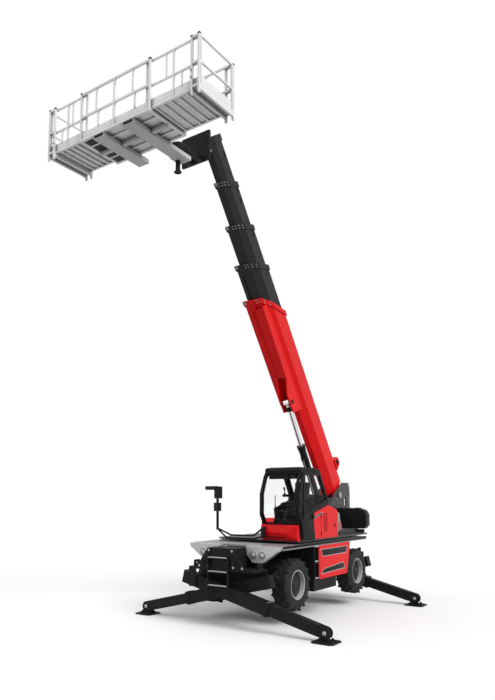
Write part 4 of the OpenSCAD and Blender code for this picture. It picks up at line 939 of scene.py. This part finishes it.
# %% Driver's place
MID_Y = (CAB_RIGHT + CAB_LEFT) / 2
LEVER = [(0, 0), (34, 0), (30, 20), (11, 36), (11, 90), (20, 110), (24, 150), (18, 176), (0, 182)]
shapes = []
for y in (MID_Y - 285, MID_Y + 285):
    shapes += [(block, (480, y - 45, 960), (860, y + 45, 1020), 18),
               (block, (520, y - 30, 830), (600, y + 30, 970), 10),
               (turned, LEVER, (810, y, 1015), (0.15, 0, 1), 20)]
shapes += [(block, (1230, MID_Y + 130, 560), (1262, MID_Y + 340, 720), 10),
           (turned, [(0, 0), (48, 0), (52, 12), (44, 26), (0, 32)], (1150, MID_Y, 738), (-0.53, 0, 0.85), 24)]
piece("cab_levers", PLASTIC, "turret", shapes, TURRET)

VOXEL, PRESSURE, CLOTH_STEPS, SWELL_CAP = 0.014, 4, 15, 0.012
SEAMS_AT, SEAM_HALF, SEAM_DEPTH = (-0.12, 0.12), 0.016, 0.010


def cushion(name, low, high, lean, hinge):
    """A padded block: remeshed, blown up by Cloth with a cap on the swell, then smoothed once."""
    bm = bmesh.new()
    block(bm, low, high, 38)
    bmesh.ops.rotate(bm, cent=hinge, matrix=Matrix.Rotation(math.radians(lean), 3, "Y"), verts=bm.verts)
    pad = solid(name, bm, VINYL, "turret")
    remesh = pad.modifiers.new("remesh", "REMESH")
    remesh.mode = "VOXEL"
    remesh.voxel_size = VOXEL
    shape = bpy.data.meshes.new_from_object(pad.evaluated_get(bpy.context.evaluated_depsgraph_get()))
    pad.modifiers.clear()
    pad.data = shape
    start = [v.co.copy() for v in shape.vertices]
    cloth = pad.modifiers.new("cloth", "CLOTH")
    cloth.settings.use_pressure = True
    cloth.settings.uniform_pressure_force = PRESSURE
    cloth.settings.effector_weights.gravity = 0
    scene = bpy.context.scene
    for step in range(CLOTH_STEPS):
        scene.frame_set(step + 1)
    blown = pad.evaluated_get(bpy.context.evaluated_depsgraph_get()).data
    ends = [v.co.copy() for v in blown.vertices]
    pad.modifiers.clear()
    scene.frame_set(1)
    for vertex, a, b in zip(shape.vertices, start, ends):
        swell = b - a
        vertex.co = a + swell * min(1, SWELL_CAP / max(swell.length, 1e-6))
    middle = sum(start, Vector()) / len(start)
    for vertex in shape.vertices:
        for y in SEAMS_AT:
            gap = abs(vertex.co.y - middle.y - y)
            if gap < SEAM_HALF:
                vertex.co += (middle - vertex.co).normalized() * SEAM_DEPTH * (1 - gap / SEAM_HALF)
    for face in shape.polygons:
        face.use_smooth = True
    smooth = pad.modifiers.new("smooth", "SUBSURF")
    smooth.levels = smooth.render_levels = 1
    return pad


seat = cushion("seat_cushion", (470, MID_Y - 205, TURRET_TOP + 790), (920, MID_Y + 205, TURRET_TOP + 890), 3,
               (690, MID_Y, TURRET_TOP + 840))
rest = cushion("seat_back", (455, MID_Y - 195, TURRET_TOP + 860), (560, MID_Y + 195, TURRET_TOP + 1320), -8,
               (500, MID_Y, TURRET_TOP + 860))
row("seat_bellows", 6, (650, MID_Y, 716), (2, 0, 14), (300, 360, 8), SEAL, "turret", TURRET)
shell = piece("seat_shell", PLASTIC, "turret", [
    (plate, [(480, 735), (790, 660), (880, 800), (500, 800)], "y", MID_Y - 170, MID_Y + 170, 12)], TURRET)
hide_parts("cab_seat")
print("driver's place:", seat.name, rest.name, shell.name)

# %% [markdown]
# A folded panel with slanted facets and a dark slot stands on the nose. Its corners are named, and its faces are
# lists of those names.

# %% Nose
NOSE_CORNERS = {
    "brow_right": (1574, 244, 302), "brow_left": (1574, 1112, 302), "ridge_right": (1628, 246, 186),
    "ridge_left": (1628, 850, 174), "chin_right": (1572, 244, 34), "chin_left": (1572, 1150, 34)}
NOSE_FACES = [
    ("brow_right", "ridge_right", "ridge_left", "brow_left"), ("ridge_right", "chin_right", "chin_left", "ridge_left"),
    ("ridge_left", "chin_left", "brow_left"), ("brow_right", "chin_right", "ridge_right"),
    ("brow_right", "brow_left", "chin_left", "chin_right")]
bm = bmesh.new()
at = {name: bm.verts.new(spot) for name, spot in NOSE_CORNERS.items()}
for names in NOSE_FACES:
    bm.faces.new([at[n] for n in names])
bmesh.ops.bevel(bm, geom=list(bm.edges), offset=6, segments=3, profile=0.6, affect="EDGES")
solid("nose_panel", bm, RED, "turret", TURRET)
piece("nose_grille", SHADOW, "turret", [
    (plate, [(285, 50), (875, 50), (845, 86), (305, 86)], "x", 1568, 1596, 2)], TURRET)
row("nose_bars", 9, (1592, 335, 68), (0, 60, 0), (14, 12, 40), RED, "turret", TURRET)
print("nose panel with", len(NOSE_FACES) - 1, "facets")

# %% [markdown]
# The rest of the turret: mirror glasses, pins and keepers on the cheeks, lifting sockets and bolts on the
# counterweight, the rear lamps, a corner plate with a reflector, and rigid pipes at the boom's heel.

# %% Turret
MIRROR_Y, MIRRORS = -900, ((-1010, 925, -800, 1205), (-1020, 625, -830, 825))
MIRROR = chrome("mirror_glass")
shapes = []
for y0, z0, y1, z1 in MIRRORS:
    shapes += [(border, rectangle(y0, z0, y1, z1), 14, "x", 1645, 1652),
               (block, (1658, y0 + 12, z0 + 12), (1702, y1 - 12, z1 - 12), 16),
               (turned, [(0, -34), (38, -34), (44, -26), (44, 26), (38, 34), (0, 34)],
                (1700, MIRROR_Y, (z0 + z1) / 2), Z, 24)]
piece("mirror_glasses", MIRROR, "turret", [
    (plate, inset(rectangle(*mirror), 12), "x", 1647, 1651, 1) for mirror in MIRRORS], TURRET)
piece("mirror_shells", PLASTIC, "turret", shapes, TURRET)
piece("mirror_lamp_glass", PLASTIC, "turret", [
    (plate, rectangle(-1215, 1140, -945, 1200), "x", 1748, 1756, 3)], TURRET)

CHEEK, STOP_PIN = 300, (-3170, pivot.y, pivot.z + 270)
PIVOT_CAP = [(0, 28), (82, 28), (82, 40), (70, 46), (24, 46), (20, 40), (0, 40)]
STOP_CAP = [(0, -2), (46, -2), (46, 12), (40, 16), (0, 16)]
KEEPER = moved([(95, -95), (200, -150), (215, -118), (110, -62)], pivot.x, pivot.z)
shapes = []
for side in SIDES:
    shapes += [(turned, moved(PIVOT_CAP, 0, CHEEK), pivot, (0, side, 0), 32),
               (turned, moved(STOP_CAP, 0, CHEEK), STOP_PIN, (0, side, 0), 24)]
piece("cheek_pins", ZINC, "turret", shapes)
piece("pin_keepers", PLATE_GREY, "turret", [
    (plate, KEEPER, "y", pivot.y + side * (CHEEK - 1), pivot.y + side * (CHEEK + 18), 3) for side in SIDES])
for side, tag in LEFT_RIGHT:
    points = [(-3160, pivot.y + side * (CHEEK + 1), 2440 + i * 90) for i in range(4)]
    points += [(pivot.x + x, pivot.y + side * (CHEEK + 18), pivot.z + z) for x, z in ((130, -92), (185, -120))]
    screws(f"cheek_screws_{tag}", points, (0, side, 0), "turret", radius=14, height=6)

WEIGHT_TOP = 2400
shapes = []
for y in (-760, 640):
    shapes += [(hoop, [(52, -2), (78, -2), (80, 8), (72, 14), (56, 14)], (-2900, y, WEIGHT_TOP), Z, 32),
               (turned, [(0, -1), (54, -1), (54, 3), (0, 3)], (-2900, y, WEIGHT_TOP), Z, 32)]
piece("weight_sockets", SHADOW, "turret", shapes)
points = [(x, y, WEIGHT_TOP) for x in (-2460, -2340) for y in (-900, -600, 500, 800)]
screws("weight_bolts", points, Z, "turret", radius=24, height=12, finish=DARK)

REAR_LAMPS = (-1090, 830)
piece("rear_lamp_boxes", PLASTIC, "turret", [
    (block, (-2265, y, 5), (-2215, y + 260, 95), 10) for y in REAR_LAMPS], TURRET)
piece("rear_lamp_glass", RED_LENS, "turret", [
    (block, (-2272, y + 16, 18), (-2262, y + 150, 82), 6) for y in REAR_LAMPS], TURRET)
piece("rear_corner_plate", DECK_GREY, "turret", [
    (plate, [(-690, 170), (-470, 90), (-460, 600), (-610, 560)], "y", REAR_Y - 250, REAR_Y - 10, 8)], TURRET)
piece("rear_corner_reflector", RED_LENS, "turret", [
    (plate, [(-680, 180), (-570, 140), (-560, 300), (-650, 360)], "y", REAR_Y - 16, REAR_Y + 4, 5)], TURRET)
for i, y in enumerate((-230, -190, 60, 100)):
    points = [(-1500, y, 2), (-1560, y, 260), (-1900 - 20 * i, y, 330), (-2150, y, 40)]
    pipe(f"heel_pipe_{i + 1}", points, 16, DARK, "turret", TURRET, 160)
print("turret dressed")

# %% [markdown]
# Deck and chassis: screws along the deck's edge, rounded edge strips, and the plates and rings round the ladder.

# %% Deck and chassis
points = [(x, y, 1690) for y in (-1150, 1150) for x in range(-1980, 2200, 260)]
screws("deck_screws", points, Z, "chassis", radius=10, height=4, finish=DARK)
piece("deck_edge", DARK, "chassis", [
    (block, (-2080, y - 14, 1640), (2240, y + 14, 1692), 9) for y in (-1200, 1200)])
piece("deck_front_edge", DECK_GREY, "chassis", [(block, (2238, -1180, 1652), (2262, 1180, 1694), 9)])
WING_PLATE = ((330, 1648), (560, 1340), (620, 1230), (300, 1230), (262, 1648))
SIDE_PLATE = [(2262, 1650), (2836, 1650), (2836, 1228), (2330, 1228)]
shapes = []
for side in SIDES:
    shapes += [(plate, [(side * y, z) for y, z in WING_PLATE], "x", 2826, 2846, 5),
               (plate, SIDE_PLATE, "y", side * 345 - 10, side * 345 + 10, 4)]
shapes += [(plate, [(-450, 1229), (480, 1229), (350, 1650), (-340, 1650)], "x", 2800, 2824, 5),
           (block, (2264, -345, 1630), (2826, 345, 1648), 5)]
piece("front_plates", DARK, "chassis", shapes)
spots = [(2846, side * 420, 1330) for side in SIDES]
piece("front_plate_rings", DARK, "chassis", [
    (hoop, [(52, -1), (74, -1), (74, 8), (52, 8)], at, X, 32) for at in spots])
piece("front_plate_holes", SHADOW, "chassis", [
    (turned, [(0, -1), (52, -1), (52, 2), (0, 2)], at, X, 32) for at in spots])
points = [(2846, side * y, z) for side in SIDES for y, z in ((330, 1260), (560, 1260), (300, 1600))]
screws("front_plate_screws", points, X, "chassis", radius=18, height=8)
print("chassis dressed")

# %% [markdown]
# The platform is white tube and sheet. The dark caps on its posts, the short posts between the rails, the bright
# locking pins, the control box on its rear rail and the ridges of its floor break up the white.

# %% Platform
DEPTH, RAIL_TOP, RAIL_MID, POST = 1092, 1135, 1135 * 0.52, 40
PLAT_Y = (-1326.5, 586.5)
WING = {"left": (1, 586.5, 1164), "right": (-1, 1326.5, 984)}
LOCK_PIN = [(0, 20), (12, 20), (12, 46), (20, 48), (20, 56), (0, 58)]
KNOB = [(0, 0), (16, 0), (10, 14), (7, 40), (12, 60), (9, 74), (0, 78)]
piece("post_caps_centre", PLASTIC, "platform", [
    (block, (x - 6, y - 6, RAIL_TOP - 8), (x + 46, y + 46, RAIL_TOP + 22), 6)
    for y in (PLAT_Y[0], PLAT_Y[1] - POST) for x in (0, DEPTH - POST)], PLATFORM)
shapes = []
for y in (PLAT_Y[0] + 440, PLAT_Y[1] - 480):
    for x in (4, DEPTH - 36):
        shapes += [(block, (x, y, RAIL_MID + 20), (x + 32, y + 32, RAIL_TOP - 20), 4),
                   (block, (x, y + 60, 290), (x + 32, y + 92, RAIL_MID + 10), 4)]
piece("short_posts_centre", WHITE, "platform", shapes, PLATFORM)
for tag, (side, edge, reach) in WING.items():
    body, far = f"wing_{tag}", edge + reach
    caps, posts, pins = [], [], []
    for x, way in ((0, -1), (DEPTH - POST, 1)):
        for y in (far - 200, far - POST):
            low, high = sorted((side * y, side * (y + POST)))
            caps.append((block, (x - 5, low - 5, RAIL_TOP - 10), (x + 45, high + 5, RAIL_TOP + 18), 6))
        pins += [(turned, LOCK_PIN, (x + 20, side * (far - 180), z), (way, 0, 0), 16)
                 for z in (RAIL_MID - 120, 330)]
    for x in (52, DEPTH - 78):
        for share, low, high in ((0.30, RAIL_MID + 20, RAIL_TOP - 20), (0.62, 300, RAIL_MID + 10)):
            y = side * (edge + reach * share)
            posts.append((block, (x, y - 14, low), (x + 26, y + 14, high), 4))
    piece(f"post_caps_{tag}", PLASTIC, body, caps, PLATFORM)
    piece(f"short_posts_{tag}", WHITE, body, posts, PLATFORM)
    piece(f"locking_pins_{tag}", ZINC, body, pins, PLATFORM)
piece("control_box", PLASTIC, "platform", [
    (block, (-210, -480, 620), (-12, -260, 860), 14), (block, (-190, -460, 850), (-30, -280, 885), 12),
    *((turned, KNOB, (-110, y, 880), Z, 16) for y in (-430, -370, -310)),
    *((block, (-20, y, 570), (4, y + 30, 760), 4) for y in (-450, -320))], PLATFORM)
row("floor_grating", 22, (546, PLAT_Y[0] + 110, 98), (0, 8.2, 0), (900, 4, 14), PLATE_GREY, "platform", PLATFORM)
print("platform dressed")

# %% [markdown]
# Last comes the carriage between the boom and the platform: caps on its tilt pin, the foot of the pin that the
# platform turns on, screws on its plate and the two motors that keep the platform level.

# %% Carriage
CARRIAGE_Y = -65
piece("tilt_pin_caps", ZINC, "carriage", [
    (turned, [(0, 124), (62, 124), (62, 134), (52, 140), (0, 140)], (0, tilt.y, 0), (0, side, 0), 32)
    for side in SIDES], CARRIAGE)
piece("stand_pin_foot", DARK, "platform", [
    (hoop, [(48, -262), (78, -262), (84, -252), (78, -240), (50, -236)], (-PLAT_BACK, turn_pin.y, 0), Z, 32)],
    PLATFORM)
points = [(371, CARRIAGE_Y + y, z) for y in (-330, -230, 230, 330) for z in (-60, 60, 160)]
screws("carriage_screws", points, X, "carriage", CARRIAGE, 16, 8, DARK)
shapes = []
for side in SIDES:
    at, out = (180, CARRIAGE_Y + side * 130, -30), (0, side, 0)
    shapes += [(hoop, [(60, 0), (96, 0), (100, 8), (100, 150), (92, 160), (60, 160)], at, out, 32),
               (turned, [(0, 4), (64, 4), (64, 154), (0, 154)], at, out, 32)]
piece("level_motors", DARK, "carriage", shapes, CARRIAGE)
print("carriage dressed")
